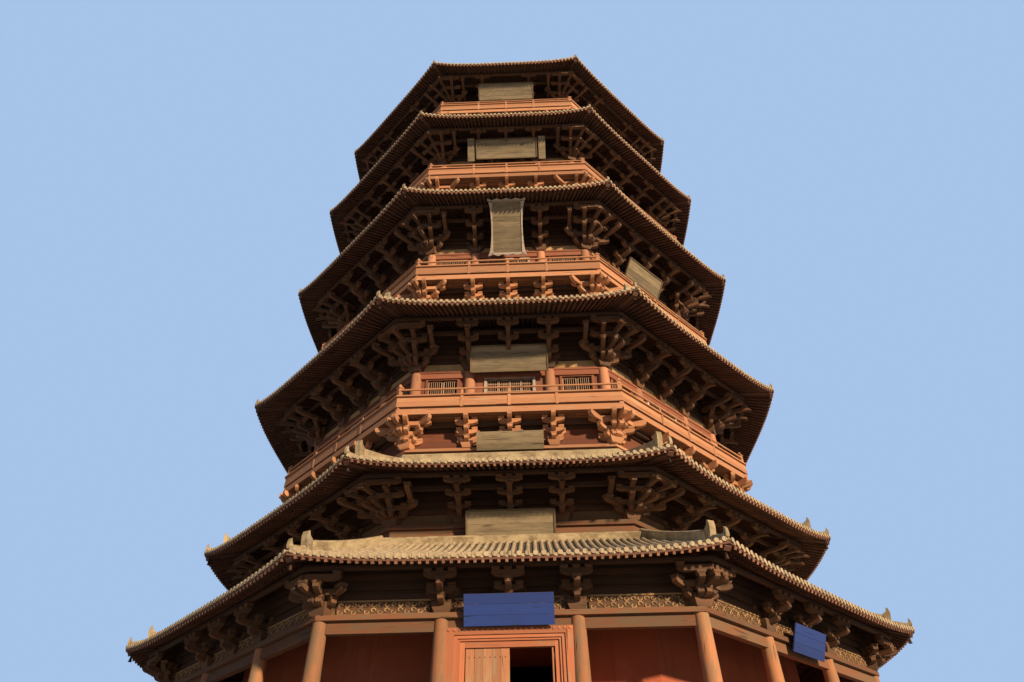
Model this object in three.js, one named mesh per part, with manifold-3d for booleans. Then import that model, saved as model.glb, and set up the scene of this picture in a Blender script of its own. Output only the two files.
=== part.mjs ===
// An octagonal timber pagoda of five storeys and six eaves on a two-tier stone platform, at a scale of 1:2.
// Millimetres, +Z up. The origin is on the tower's axis at ground level, and the entrance faces -Y.
import * as THREE from "three";
import { mergeVertices } from "three/addons/utils/BufferGeometryUtils.js";
import Module from "manifold-3d";

const wasm = await Module();
wasm.setup();

// Driving dimensions. One metre of the real tower is half a metre here, and every size below is in real metres.
const METRE = 500;
const GAP = 0.3 / METRE; // clearance between pieces that touch
const FACETS = 8;
const FACET_TURN = (2 * Math.PI) / FACETS;
const HALF_FACET = FACET_TURN / 2;
const INNER_COLUMN_SHARE = 0.2134; // place of a facet's two inner columns, as a share of its side

const platform = {
  lowerSide: 41,
  lowerTop: 2.1,
  terraceWidth: 13,
  terraceDepth: 5,
  upperApothem: 17.75,
  top: 4.4,
};
const stair = { width: 5, tread: 0.3, steps: 12 };

const groundWall = { outer: 12.45, inner: 9.9, top: 12.7 };
const passage = { halfWidth: 1.6, top: 8.6 };

const veranda = {
  ring: 15.135,
  columnRadius: 0.27,
  innerColumns: 2.24, // from the middle of the side
  lintelBottom: 8.35,
  bracketBase: 8.95,
  purlinReach: 0.9,
  eaveApothem: 17.2,
  eaveHeight: 10.0,
  slope: 0.556,
  cornerRise: 0.5,
};
const doorway = { halfWidth: 1.45, head: 7.9, sill: 0.16, depth: 0.34 };
const leaf = { thick: 0.08, play: 0.028, meeting: 0.01, rise: 0.012, pin: 0.03 };
const vestibuleWall = 0.34;

const firstStorey = {
  ring: 11.85,
  lintelBottom: 12.95,
  bracketBase: 13.55,
  purlinReach: 1.9,
  eaveApothem: 15.3,
  eaveHeight: 14.5,
  slope: 0.52,
  cornerRise: 0.6,
};

// The four balcony storeys: floor level, height of the bracket base over it, column ring, rail and eave edge.
const balconyStoreys = [
  { number: 2, floor: 19.0, base: 3.5, ring: 11.2, rail: 12.38, eaveApothem: 14.9, eaveHeight: 23.45 },
  { number: 3, floor: 27.95, base: 3.45, ring: 10.8, rail: 12.03, eaveApothem: 14.2, eaveHeight: 32.65 },
  { number: 4, floor: 37.1, base: 3.3, ring: 10.4, rail: 11.85, eaveApothem: 13.55, eaveHeight: 41.35 },
  { number: 5, floor: 45.5, base: 3.05, ring: 9.8, rail: 11.25, eaveApothem: 12.83, eaveHeight: 49.35 },
];
const upper = { columnRadius: 0.26, lintel: 0.55, purlinReach: 1.9, slope: 0.5, cornerRise: 0.5 };
const screen = { thick: 0.3, sill: 1.55, head: 2.5, doorHalfWidth: 1.12, windowHalfWidth: 0.72 };
const balcony = { wallBeyondRing: 0.2, wallThick: 0.3, bracketDepth: 1.35, deck: 0.3, deckBeyondRail: 0.1 };
const railing = { thick: 0.1, panelTop: 0.56, topBottom: 1.05, top: 1.15, post: 0.16 };
const eaveEdge = { thick: 0.32, taper: 0.03 };
const roofTop = { height: 55.54, seat: 1.7 };
const finial = { baseTop: 57.4, tip: 67.31 };

// Finishes, as seen in late afternoon sun.
const finish = (color, roughness, metalness = 0) =>
  new THREE.MeshStandardMaterial({ color, roughness, metalness });
const finishes = {
  stone: finish(0x9a9183, 0.95),
  redPlaster: finish(0x9c4631, 0.9),
  redTimber: finish(0xb0623f, 0.75),
  agedTimber: finish(0x6f5a44, 0.85),
  clayTile: finish(0x85806c, 0.85),
  iron: finish(0x4a4540, 0.6, 0.7),
  plaqueBoard: finish(0x8c8264, 0.8),
  bluePaint: finish(0x27408c, 0.6),
};

// A closed geometry as a solid that can be joined and cut.
function solid(geometry) {
  const bare = geometry.index ? geometry.toNonIndexed() : geometry.clone();
  bare.deleteAttribute("normal");
  bare.deleteAttribute("uv");
  const merged = mergeVertices(bare, 1e-2);
  const made = new wasm.Manifold(
    new wasm.Mesh({
      numProp: 3,
      vertProperties: merged.attributes.position.array,
      triVerts: new Uint32Array(merged.index.array),
    }),
  );
  return made;
}

// A solid back as a geometry.
function geometryOf(made) {
  const mesh = made.getMesh();
  const geometry = new THREE.BufferGeometry();
  geometry.setAttribute("position", new THREE.BufferAttribute(mesh.vertProperties, 3));
  geometry.setIndex(new THREE.BufferAttribute(mesh.triVerts, 1));
  geometry.computeVertexNormals();
  return geometry;
}

const join = (solids) => solids.reduce((all, one) => all.add(one));

function piece(name, made, material, parent, height = 0) {
  const mesh = new THREE.Mesh(geometryOf(made), material);
  mesh.name = name;
  mesh.position.z = height * METRE;
  parent.add(mesh);
  return mesh;
}

// A box given by its lowest and highest corners, in real metres.
function block([x0, y0, z0], [x1, y1, z1]) {
  const geometry = new THREE.BoxGeometry((x1 - x0) * METRE, (y1 - y0) * METRE, (z1 - z0) * METRE);
  geometry.translate(((x0 + x1) / 2) * METRE, ((y0 + y1) / 2) * METRE, ((z0 + z1) / 2) * METRE);
  return solid(geometry);
}

// A profile of (distance from the axis, height) pairs turned round the axis, with `perFacet` steps to each side.
// The distance is measured square to a side, so the turned shape is an octagon.
function octagonal(profile, perFacet = 1, lift = () => 0) {
  const area = profile.reduce((sum, [r, z], i) => {
    const [r2, z2] = profile[(i + 1) % profile.length];
    return sum + r * z2 - r2 * z;
  }, 0);
  const ordered = area < 0 ? [...profile].reverse() : profile;
  const onAxis = ordered.filter(([r]) => r === 0).length;
  let points = ordered;
  if (onAxis) {
    while (!(points[0][0] === 0 && points[points.length - 1][0] === 0)) {
      points = [...points.slice(1), points[0]];
    }
  } else {
    points = [...ordered, ordered[0]];
  }
  const geometry = new THREE.LatheGeometry(
    points.map(([r, z]) => new THREE.Vector2(r, z)),
    FACETS * perFacet,
    HALF_FACET,
  );
  geometry.rotateX(Math.PI / 2);
  const position = geometry.attributes.position;
  for (let i = 0; i < position.count; i += 1) {
    const r = Math.hypot(position.getX(i), position.getY(i));
    const angle = Math.atan2(position.getX(i), -position.getY(i));
    const facet = Math.round(angle / FACET_TURN - 1e-6) * FACET_TURN;
    const aside = angle - facet;
    const spread = r / Math.cos(aside);
    const z = position.getZ(i) + lift(r, Math.abs(Math.tan(aside) / Math.tan(HALF_FACET)));
    position.setXYZ(
      i,
      spread * Math.sin(angle) * METRE,
      -spread * Math.cos(angle) * METRE,
      z * METRE,
    );
  }
  return solid(geometry);
}

const ring = (outer, inner, bottom, top) =>
  octagonal([[outer, bottom], [outer, top], [inner, top], [inner, bottom]]);

// A plan outline of (x, y) pairs raised from one height to another.
function raised(outline, bottom, top) {
  const shape = new THREE.Shape(outline.map(([x, y]) => new THREE.Vector2(x * METRE, y * METRE)));
  const geometry = new THREE.ExtrudeGeometry(shape, { depth: (top - bottom) * METRE, bevelEnabled: false });
  geometry.translate(0, 0, bottom * METRE);
  return solid(geometry);
}

// A side profile of (distance outward, height) pairs, `width` wide, standing out towards -Y.
function profiled(profile, width, across = 0) {
  const shape = new THREE.Shape(profile.map(([out, z]) => new THREE.Vector2(out * METRE, z * METRE)));
  const geometry = new THREE.ExtrudeGeometry(shape, { depth: width * METRE, bevelEnabled: false });
  geometry.translate(0, 0, (-width / 2) * METRE);
  geometry.rotateX(Math.PI / 2);
  geometry.rotateZ(-Math.PI / 2);
  geometry.translate(across * METRE, 0, 0);
  return solid(geometry);
}

function post(x, y, radius, bottom, top, sides = 6) {
  const geometry = new THREE.CylinderGeometry(radius * METRE, radius * METRE, (top - bottom) * METRE, sides);
  geometry.rotateX(Math.PI / 2);
  geometry.translate(x * METRE, y * METRE, ((top + bottom) / 2) * METRE);
  return solid(geometry);
}

const turned = (made, turns) => made.rotate([0, 0, (turns * 360) / FACETS]);

// Copies of a solid made for the south side, one for each of the eight sides.
const onEverySide = (made) => Array.from({ length: FACETS }, (_, i) => turned(made, i));
// Copies of a solid made straight ahead, one for each of the eight corners.
const onEveryCorner = (made) => Array.from({ length: FACETS }, (_, i) => turned(made, i + 0.5));

const sideOf = (apothem) => 2 * apothem * Math.tan(HALF_FACET);
const cornerOf = (apothem) => apothem / Math.cos(HALF_FACET);

// A ring of columns under one beam, which is the lintel and the plate on it: eight corners and two to each side.
function columnFrame({ apothem, radius, inner, bottom, beamBottom, beamTop }) {
  const top = beamBottom + 0.05;
  return join([
    ring(apothem + 0.28, apothem - 0.28, beamBottom, beamTop),
    ...onEveryCorner(post(0, -cornerOf(apothem), radius, bottom, top)),
    ...onEverySide(post(-inner, -apothem, radius, bottom, top)),
    ...onEverySide(post(inner, -apothem, radius, bottom, top)),
  ]);
}

// Brackets over the columns: a wall ring with arms that reach outward and upward from it to a beam, cut from
// one ring by taking out the bays between the columns under the beam.
function bracketRing({ apothem, inner, wallBottom, wallTop, base, reach, beamTop, columns, width }) {
  const beam = 0.28;
  const end = apothem + reach;
  const wall = [[inner, wallTop], [inner, wallBottom]];
  if (wallBottom < base) {
    wall.push([apothem, wallBottom], [apothem, base]);
  }
  const crown = wallTop > beamTop ? [[apothem, beamTop], [apothem, wallTop]] : [];
  const whole = octagonal([
    ...wall,
    [apothem + 0.15, base],
    [end, beamTop - beam - 0.04],
    [end, beamTop],
    ...crown,
  ]);
  const side = sideOf(apothem) / 2;
  const bay = (from, to) => block([from, -end - 1, base - 0.1], [to, -apothem - 0.02, beamTop - beam]);
  const bays = [
    bay(-columns + width / 2, columns - width / 2),
    bay(columns + width / 2, side - width / 2),
    bay(-side + width / 2, -columns - width / 2),
  ];
  return whole.subtract(join(bays.flatMap(onEverySide)));
}

// The underside of an eave at a distance from the axis.
const underSlope = (eave) => eave.slope - eaveEdge.taper;
const underside = (eave, r) => eave.eaveHeight - eaveEdge.thick + underSlope(eave) * (eave.eaveApothem - r);

// The bracket ring of an eave, up to the purlin that its roof lies on.
function eaveBrackets(eave, { apothem, base, inner, columns }) {
  const wall = apothem + 0.15;
  return bracketRing({
    apothem: wall,
    inner,
    wallBottom: base,
    wallTop: underside(eave, wall) - GAP,
    base,
    reach: eave.purlinReach,
    beamTop: underside(eave, wall + eave.purlinReach) - GAP,
    columns,
    width: 0.85,
  });
}

// How far a roof's edge turns up: more towards its corners, and more towards the edge than the wall.
const upturn = (eave, inner) => (r, aside) => {
  const outward = Math.max(0, (r - inner) / (eave.eaveApothem - inner));
  return eave.cornerRise * outward ** 1.5 * aside ** 2.5;
};

// An eave roof from its edge up to the wall it leans on.
function eaveRoof(eave, inner) {
  const { eaveApothem, eaveHeight, slope } = eave;
  const run = eaveApothem - inner;
  const profile = [
    [eaveApothem, eaveHeight],
    [inner + run / 2, eaveHeight + slope * 0.46 * run],
    [inner, eaveHeight + slope * run],
    [inner, underside(eave, inner)],
    [eaveApothem, underside(eave, eaveApothem)],
  ];
  return octagonal(profile, 4, upturn(eave, inner));
}

// A plaque: a board in a raised frame that leans forward, with two hangers from its back to the beam behind it.
// Its foot is at the origin's height, `clear` in front of the beam's face, which is the plane y = 0.
function plaque({ width, height, lean, clear, hung, thick = 0.12 }) {
  const board = block([-width / 2, -thick, 0], [width / 2, 0, height]);
  const field = block([-width / 2 + 0.1, -thick - 1, 0.1], [width / 2 - 0.1, -thick + 0.04, height - 0.1]);
  const leaning = board.subtract(field).rotate([lean, 0, 0]).translate([0, -clear * METRE, 0]);
  const away = clear + hung * Math.tan(THREE.MathUtils.degToRad(lean));
  const hanger = (across) => block([across - 0.06, -away - 0.05, hung - 0.05], [across + 0.06, 0, hung + 0.05]);
  return join([leaning, hanger(-width / 4), hanger(width / 4)]);
}

const tower = new THREE.Group();
tower.name = "pagoda";

// The stone platform: a square tier with a terrace before the entrance, and an octagonal tier on it.
const half = platform.lowerSide / 2;
const terraceHalf = platform.terraceWidth / 2;
const terraceFront = -half - platform.terraceDepth;
piece(
  "platform_lower",
  raised(
    [
      [-half, half],
      [-half, -half],
      [-terraceHalf, -half],
      [-terraceHalf, terraceFront],
      [terraceHalf, terraceFront],
      [terraceHalf, -half],
      [half, -half],
      [half, half],
    ],
    0,
    platform.lowerTop,
  ),
  finishes.stone,
  tower,
);
piece(
  "platform_upper",
  octagonal([
    [0, 0],
    [platform.upperApothem, 0],
    [platform.upperApothem, platform.top - platform.lowerTop - GAP],
    [0, platform.top - platform.lowerTop - GAP],
  ]),
  finishes.stone,
  tower,
  platform.lowerTop + GAP,
);

// A straight flight of steps between two side strings, standing against a face at distance `face`.
function flight(face, rise) {
  const riser = rise / stair.steps;
  const profile = [[face, 0]];
  for (let i = stair.steps; i > 0; i -= 1) {
    profile.push([face + (stair.steps - i) * stair.tread, i * riser]);
    profile.push([face + (stair.steps - i + 1) * stair.tread, i * riser]);
  }
  profile.push([face + stair.steps * stair.tread, 0]);
  const foot = face + (stair.steps + 0.4) * stair.tread;
  const string = [
    [face, 0],
    [foot, 0],
    [foot, 0.12],
    [face, rise],
  ];
  const edge = stair.width / 2;
  return join([profiled(profile, stair.width), profiled(string, 0.4, -edge), profiled(string, 0.4, edge)]);
}
piece("stair_lower", flight(-terraceFront + GAP, platform.lowerTop), finishes.stone, tower);
piece(
  "stair_upper",
  flight(platform.upperApothem + GAP, platform.top - platform.lowerTop - GAP),
  finishes.stone,
  tower,
  platform.lowerTop + GAP,
);

// The ground storey: a thick plastered wall in two halves, parted by the passage behind the entrance.
const ground = new THREE.Group();
ground.name = "ground_storey";
tower.add(ground);
const floorTop = platform.top + GAP;
const wallRing = ring(groundWall.outer, groundWall.inner, floorTop, groundWall.top);
const far = 20;
const halfSpace = (sign) =>
  sign < 0
    ? block([-far, -far, 0], [-GAP / 2, far, far])
    : block([GAP / 2, -far, 0], [far, far, far]);
const passageGap = block([-passage.halfWidth, -far, 0], [passage.halfWidth, 0, far]);
piece(
  "ground_wall_west",
  wallRing.intersect(halfSpace(-1)).subtract(passageGap),
  finishes.redPlaster,
  ground,
);
piece(
  "ground_wall_east",
  wallRing.intersect(halfSpace(1)).subtract(passageGap),
  finishes.redPlaster,
  ground,
);
piece(
  "wall_over_door",
  block(
    [-passage.halfWidth + GAP, -groundWall.outer, passage.top],
    [passage.halfWidth - GAP, -groundWall.inner, groundWall.top],
  ),
  finishes.redPlaster,
  ground,
);

// The veranda round it: columns, brackets and the lowest roof.
piece(
  "veranda_frame",
  columnFrame({
    apothem: veranda.ring,
    radius: veranda.columnRadius,
    inner: veranda.innerColumns,
    bottom: floorTop,
    beamBottom: veranda.lintelBottom,
    beamTop: veranda.bracketBase,
  }),
  finishes.agedTimber,
  ground,
);
piece(
  "veranda_brackets",
  eaveBrackets(veranda, {
    apothem: veranda.ring,
    base: veranda.bracketBase + GAP,
    inner: veranda.ring - 0.15,
    columns: veranda.innerColumns,
  }),
  finishes.agedTimber,
  ground,
);
piece("veranda_roof", eaveRoof(veranda, groundWall.outer + GAP), finishes.clayTile, ground);

// The entrance bay: side walls, a timber door frame in the middle bay, and two plank leaves that swing inward.
const frameFront = veranda.ring + doorway.depth / 2;
const frameBack = veranda.ring - doorway.depth / 2;
for (const [name, sign] of [["vestibule_wall_west", -1], ["vestibule_wall_east", 1]]) {
  const middle = sign * veranda.innerColumns;
  piece(
    name,
    block(
      [middle - vestibuleWall / 2, -(veranda.ring - 0.28 - GAP), floorTop],
      [middle + vestibuleWall / 2, -groundWall.outer - GAP, veranda.lintelBottom - GAP],
    ),
    finishes.redPlaster,
    ground,
  );
}
const frameHalf = veranda.innerColumns - veranda.columnRadius - GAP;
piece(
  "doorway_frame",
  block([-frameHalf, -frameFront, floorTop], [frameHalf, -frameBack, veranda.lintelBottom - GAP]).subtract(
    block(
      [-doorway.halfWidth, -frameFront - 1, floorTop + doorway.sill],
      [doorway.halfWidth, -frameBack + 1, doorway.head],
    ),
  ),
  finishes.redTimber,
  ground,
);

// A plank leaf seen from its pivot: the boards run from there to the middle of the doorway when it is closed,
// and a pin at each end of the hinge edge stands in the sill and the head.
const pivot = { across: doorway.halfWidth - leaf.play - leaf.thick / 2, out: frameBack + leaf.thick };
const sillTop = floorTop + doorway.sill;
const leafOf = (sign) => {
  const near = -sign * (leaf.thick / 2);
  const far = sign * (pivot.across - leaf.meeting);
  const boards = block(
    [Math.min(near, far), -leaf.thick / 2, sillTop + leaf.rise],
    [Math.max(near, far), leaf.thick / 2, doorway.head - leaf.rise],
  );
  return boards.add(post(0, 0, leaf.pin, sillTop + GAP, doorway.head - GAP));
};
const leafWest = piece("door_leaf_west", leafOf(1), finishes.redTimber, ground);
leafWest.position.set(-pivot.across * METRE, -pivot.out * METRE, 0);
const leafEast = piece("door_leaf_east", leafOf(-1), finishes.redTimber, ground);
leafEast.position.set(pivot.across * METRE, -pivot.out * METRE, 0);
leafEast.rotation.z = -Math.PI / 2;

// The first storey's upper part: a beam ring on the wall, brackets and the second roof.
const balconyWallOf = (storey) => storey.ring + balcony.wallBeyondRing;
const seatFor = (storey) => balconyWallOf(storey) - balcony.wallThick;
piece(
  "storey1_beam_ring",
  ring(firstStorey.ring + 0.28, seatFor(balconyStoreys[0]), groundWall.top + GAP, firstStorey.bracketBase),
  finishes.agedTimber,
  ground,
);
piece(
  "storey1_eave_brackets",
  eaveBrackets(firstStorey, {
    apothem: firstStorey.ring,
    base: firstStorey.bracketBase + GAP,
    inner: seatFor(balconyStoreys[0]),
    columns: sideOf(firstStorey.ring) * INNER_COLUMN_SHARE,
  }),
  finishes.agedTimber,
  ground,
);
piece("storey1_roof", eaveRoof(firstStorey, balconyWallOf(balconyStoreys[0]) + GAP), finishes.clayTile, ground);

// A storey with a balcony: planked half storey with brackets, floor, rail, columns, screens and eave brackets.
// `footing` is the height of the beams below that it stands on, and `next` is the storey it will carry.
function addStorey(storey, footing, next) {
  const { number, floor, base, ring: columnRing, rail } = storey;
  const group = new THREE.Group();
  group.name = `storey_${number}`;
  group.position.z = floor * METRE;
  tower.add(group);
  const name = (part) => `storey${number}_${part}`;
  const columns = sideOf(columnRing) * INNER_COLUMN_SHARE;

  const wall = balconyWallOf(storey);
  const deckEdge = rail + balcony.deckBeyondRail;
  const deckBottom = -balcony.deck - GAP;
  piece(
    name("balcony_brackets"),
    bracketRing({
      apothem: wall,
      inner: wall - balcony.wallThick,
      wallBottom: footing - floor + GAP,
      wallTop: deckBottom,
      base: -balcony.bracketDepth,
      reach: deckEdge - 0.08 - wall,
      beamTop: deckBottom,
      columns,
      width: 0.6,
    }),
    finishes.redTimber,
    group,
  );
  piece(
    name("floor"),
    octagonal([[0, -balcony.deck], [deckEdge, -balcony.deck], [deckEdge, 0], [0, 0]]),
    finishes.redTimber,
    group,
  );

  // The rail: a boarded base, a top bar, and posts at the corners and in the middle of each side.
  const bars = ring(rail + railing.thick / 2, rail - railing.thick / 2, GAP, railing.top);
  const halfSide = sideOf(rail) / 2 - railing.post;
  const open = (from, to) => block([from, -rail - 1, railing.panelTop], [to, -rail + 1, railing.topBottom]);
  const gaps = [open(-halfSide, -railing.post / 2), open(railing.post / 2, halfSide)];
  piece(name("railing"), bars.subtract(join(gaps.flatMap(onEverySide))), finishes.redTimber, group);

  // Round columns with timber screens between them, under a beam ring. Each side has a lattice door in its
  // middle bay and a window on each side of it.
  const beside = (sideOf(columnRing) * (INNER_COLUMN_SHARE + 0.5)) / 2;
  const opening = (across, halfWidth) =>
    block([across - halfWidth, -columnRing - 1, screen.sill], [across + halfWidth, -columnRing + 1, screen.head]);
  const openings = [
    opening(-beside, screen.windowHalfWidth),
    opening(0, screen.doorHalfWidth),
    opening(beside, screen.windowHalfWidth),
  ];
  const columnsAndBeam = columnFrame({
    apothem: columnRing,
    radius: upper.columnRadius,
    inner: columns,
    bottom: GAP,
    beamBottom: base - upper.lintel,
    beamTop: base,
  });
  const screens = ring(columnRing, columnRing - screen.thick, GAP, base - upper.lintel + 0.05);
  piece(
    name("wall"),
    columnsAndBeam.add(screens).subtract(join(openings.flatMap(onEverySide))),
    finishes.redTimber,
    group,
  );

  const eave = { ...upper, ...storey, eaveHeight: storey.eaveHeight - floor };
  piece(
    name("eave_brackets"),
    eaveBrackets(eave, {
      apothem: columnRing,
      base: base + GAP,
      inner: next ? seatFor(next) : columnRing - 0.4,
      columns,
    }),
    finishes.agedTimber,
    group,
  );
  if (next) {
    piece(name("roof"), eaveRoof(eave, balconyWallOf(next) + GAP), finishes.clayTile, group);
  }
  return { group, eave, beamsTop: floor + underside(eave, columnRing + 0.15) - GAP };
}

let below = { beamsTop: underside(firstStorey, firstStorey.ring + 0.15) - GAP };
balconyStoreys.forEach((storey, i) => {
  below = addStorey(storey, below.beamsTop, balconyStoreys[i + 1]);
});

// The top roof: a hollow eight-sided cap that steepens towards the finial's seat.
const top = below.eave;
const apex = roofTop.height - balconyStoreys[3].floor;
const cap = [
  [0, apex],
  [roofTop.seat, apex],
  [5.5, top.eaveHeight + 3.6],
  [9.3, top.eaveHeight + 1.6],
  [top.eaveApothem, top.eaveHeight],
  [top.eaveApothem, underside(top, top.eaveApothem)],
  [top.ring, underside(top, top.ring)],
  [5.5, top.eaveHeight + 3.0],
  [0, apex - 0.9],
];
piece("storey5_roof", octagonal(cap, 4, upturn(top, top.ring)), finishes.clayTile, below.group);

// The finial: a brick seat, then a cast-iron bowl, rings, canopy and pearls on one mast.
const spire = new THREE.Group();
spire.name = "finial";
spire.position.z = roofTop.height * METRE;
tower.add(spire);
const seatTop = finial.baseTop - roofTop.height;
piece(
  "finial_base",
  octagonal([
    [0, GAP],
    [1.55, GAP],
    [1.55, 0.35],
    [1.2, 0.55],
    [1.2, 1.15],
    [1.65, 1.6],
    [1.65, seatTop],
    [0, seatTop],
  ]),
  finishes.stone,
  spire,
);
const mast = 0.16;
const discs = [4.0, 4.65, 5.3, 5.95, 6.6].map((z, i) => ({ z, radius: 1.05 - 0.11 * i }));
const spireProfile = [
  [0, seatTop + GAP],
  [1.25, seatTop + GAP],
  [1.35, seatTop + 0.5],
  [1.0, seatTop + 1.1],
  [0.3, seatTop + 1.3],
  [0.75, seatTop + 1.75],
  [mast, seatTop + 1.85],
  ...discs.flatMap(({ z, radius }) => [
    [mast, z - 0.12],
    [radius, z],
    [mast, z + 0.12],
  ]),
  [mast, 7.55],
  [0.95, 7.6],
  [0.2, 8.05],
  [mast, 9.0],
  [0.55, 9.45],
  [mast, 9.9],
  [0.34, 10.35],
  [0.12, 10.8],
  [0.26, 11.15],
  [0, finial.tip - roofTop.height],
];
piece("finial_spire", octagonal(spireProfile), finishes.iron, spire);

// Plaques over the entrance and on each storey, bare boards in frames. `face` is the beam's face behind them,
// `clear` how far in front of it their lower edge is, `foot` its height, and `hung` how far above it they hang.
const [second, third, fourth, fifth] = balconyStoreys;
const beamFace = (storey) => storey.ring + 0.28;
const plaques = [
  { name: "plaque_entrance", face: beamFace(veranda), foot: 8.47, width: 2.94, height: 0.99, hung: 0.25, blue: true },
  { name: "plaque_veranda_southeast", face: beamFace(veranda), foot: 8.47, width: 2.3, height: 0.99, hung: 0.25,
    blue: true, turns: 1 },
  { name: "plaque_storey1", face: beamFace(firstStorey), foot: 12.76, clear: 0.2, width: 3.61, height: 1.14,
    lean: 23, hung: 0.35 },
  { name: "plaque_balcony2", face: balconyWallOf(second), foot: 17.19, clear: 0.3, width: 3.02, height: 0.84,
    lean: 28, hung: 0.21 },
  { name: "plaque_storey2", face: beamFace(second), foot: 21.58, clear: 0.19, width: 3.83, height: 1.37, hung: 0.62 },
  { name: "plaque_storey3", face: beamFace(third), foot: 30.06, clear: 0.52, width: 2.1, height: 3.1, lean: 35,
    hung: 1.04 },
  { name: "plaque_storey3_southeast", face: beamFace(third), foot: 30.45, clear: 0.27, width: 3.2, height: 1.3,
    lean: 28, hung: 0.65, turns: 1 },
  { name: "plaque_storey4", face: beamFace(fourth), foot: 39.72, clear: 0.52, width: 4.08, height: 1.4, lean: 32,
    hung: 0.38 },
  { name: "plaque_storey5", face: beamFace(fifth), foot: 47.77, clear: 0.62, width: 4.1, height: 1.35, lean: 33,
    hung: 0.53 },
];
for (const { name, face, foot, turns = 0, blue = false, clear = 0.04, lean = 22, ...size } of plaques) {
  const arm = new THREE.Group();
  arm.rotation.z = turns * FACET_TURN;
  tower.add(arm);
  const board = plaque({ ...size, clear, lean });
  const mesh = piece(name, board, blue ? finishes.bluePaint : finishes.plaqueBoard, arm);
  mesh.position.set(0, -(face + GAP) * METRE, foot * METRE);
}

export default tower;
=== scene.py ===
import math
import random
from functools import partial
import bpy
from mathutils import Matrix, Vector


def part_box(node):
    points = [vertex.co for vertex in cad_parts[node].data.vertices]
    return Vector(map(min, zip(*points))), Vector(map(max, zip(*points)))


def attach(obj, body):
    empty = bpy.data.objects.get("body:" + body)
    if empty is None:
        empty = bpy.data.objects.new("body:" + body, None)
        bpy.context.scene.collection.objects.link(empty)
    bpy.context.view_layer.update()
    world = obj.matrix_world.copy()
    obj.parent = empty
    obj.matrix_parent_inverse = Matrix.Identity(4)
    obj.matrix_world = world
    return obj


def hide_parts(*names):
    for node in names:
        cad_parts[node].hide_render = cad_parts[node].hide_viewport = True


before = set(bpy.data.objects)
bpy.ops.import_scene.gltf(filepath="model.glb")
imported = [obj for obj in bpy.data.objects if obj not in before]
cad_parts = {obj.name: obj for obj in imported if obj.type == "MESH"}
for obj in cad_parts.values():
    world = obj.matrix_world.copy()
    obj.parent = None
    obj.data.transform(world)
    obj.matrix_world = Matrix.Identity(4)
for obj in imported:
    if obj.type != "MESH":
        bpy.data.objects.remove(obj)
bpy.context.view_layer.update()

import bpy
import numpy as np
from mathutils import Matrix

# Where it stands: a pale studio floor under soft light, seen by someone close before the entrance who looks
# steeply up. The key light comes low from the front right, so it reaches the walls under the eaves.
real = 0.5  # one metre of the real tower in this model; the sizes below are the real tower's, in metres
chance = random.Random(11)
scene = bpy.context.scene


def linear(hex_colour):
    channels = [int(hex_colour[i : i + 2], 16) / 255 for i in (1, 3, 5)]
    return [c / 12.92 if c <= 0.04045 else ((c + 0.055) / 1.055) ** 2.4 for c in channels] + [1.0]


def add(tree, kind, inputs=None, stops=None, **settings):
    """A node with its settings and links; a node given as an input is linked from its first live output."""
    made = tree.nodes.new("ShaderNode" + kind)
    for name, value in settings.items():
        setattr(made, name, value)
    if stops:
        elements = made.color_ramp.elements
        while len(elements) < len(stops):
            elements.new(0.5)
        for element, (position, colour) in zip(elements, stops):
            element.position = position
            element.color = linear(colour) if isinstance(colour, str) else [colour] * 3 + [1.0]
    for socket, value in (inputs or {}).items():
        if isinstance(value, bpy.types.Node):
            value = next(output for output in value.outputs if output.enabled)
        if isinstance(value, bpy.types.NodeSocket):
            tree.links.new(value, made.inputs[socket])
        else:
            made.inputs[socket].default_value = linear(value) if isinstance(value, str) else value
    return made


def blank_material(name):
    """An empty material, and `add` for its own nodes."""
    material = bpy.data.materials.new(name)
    material.use_nodes = True
    material.node_tree.nodes.clear()
    return material, partial(add, material.node_tree)


eye = [0.768 * real, -38.08 * real, 1.60 * real]
look_aside, look_up, head_tilt = math.radians(1.33), math.radians(39.71), math.radians(-0.98)
camera = bpy.data.objects.new("camera", bpy.data.cameras.new("camera"))
camera.data.sensor_width = 36
camera.data.lens = 23.75
camera.data.clip_end = 500
camera.matrix_world = (
    Matrix.Translation(eye)
    @ Matrix.Rotation(look_aside, 4, "Z")
    @ Matrix.Rotation(math.pi / 2 + look_up, 4, "X")
    @ Matrix.Rotation(head_tilt, 4, "Z")
)
scene.collection.objects.link(camera)
scene.camera = camera

studio_paint, put = blank_material("pale_studio_floor")
put("OutputMaterial", {"Surface": put("BsdfPrincipled", {"Base Color": "#b9b4aa", "Roughness": 0.9})})
floor_mesh = bpy.data.meshes.new("studio_floor")
reach = 160
floor_corners = [(-reach, -reach, 0), (reach, -reach, 0), (reach, reach, 0), (-reach, reach, 0)]
floor_mesh.from_pydata(floor_corners, [], [(0, 1, 2, 3)])
floor_mesh.materials.append(studio_paint)
studio_floor = bpy.data.objects.new("studio_floor", floor_mesh)
scene.collection.objects.link(studio_floor)

# The pale blue behind it is seen a little brighter than it lights, so the eaves stay deep.
world = bpy.data.worlds.new("studio")
world.use_nodes = True
world.node_tree.nodes.clear()
put = partial(add, world.node_tree)
fill = put("MapRange", {0: put("LightPath").outputs["Is Camera Ray"], 3: 0.4, 4: 0.97})
put("OutputWorld", {"Surface": put("Background", {"Color": "#a9c6ec", "Strength": fill})})
scene.world = world
scene.view_settings.view_transform = "Standard"

key_height, key_aside = math.radians(16), math.radians(38)
key = bpy.data.objects.new("key_light", bpy.data.lights.new("key_light", "SUN"))
key.data.energy = 6.0
key.data.color = linear("#ffdcb2")[:3]
key.data.angle = math.radians(3)
key.rotation_euler = (math.pi / 2 - key_height, 0, key_aside)
scene.collection.objects.link(key)


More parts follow.
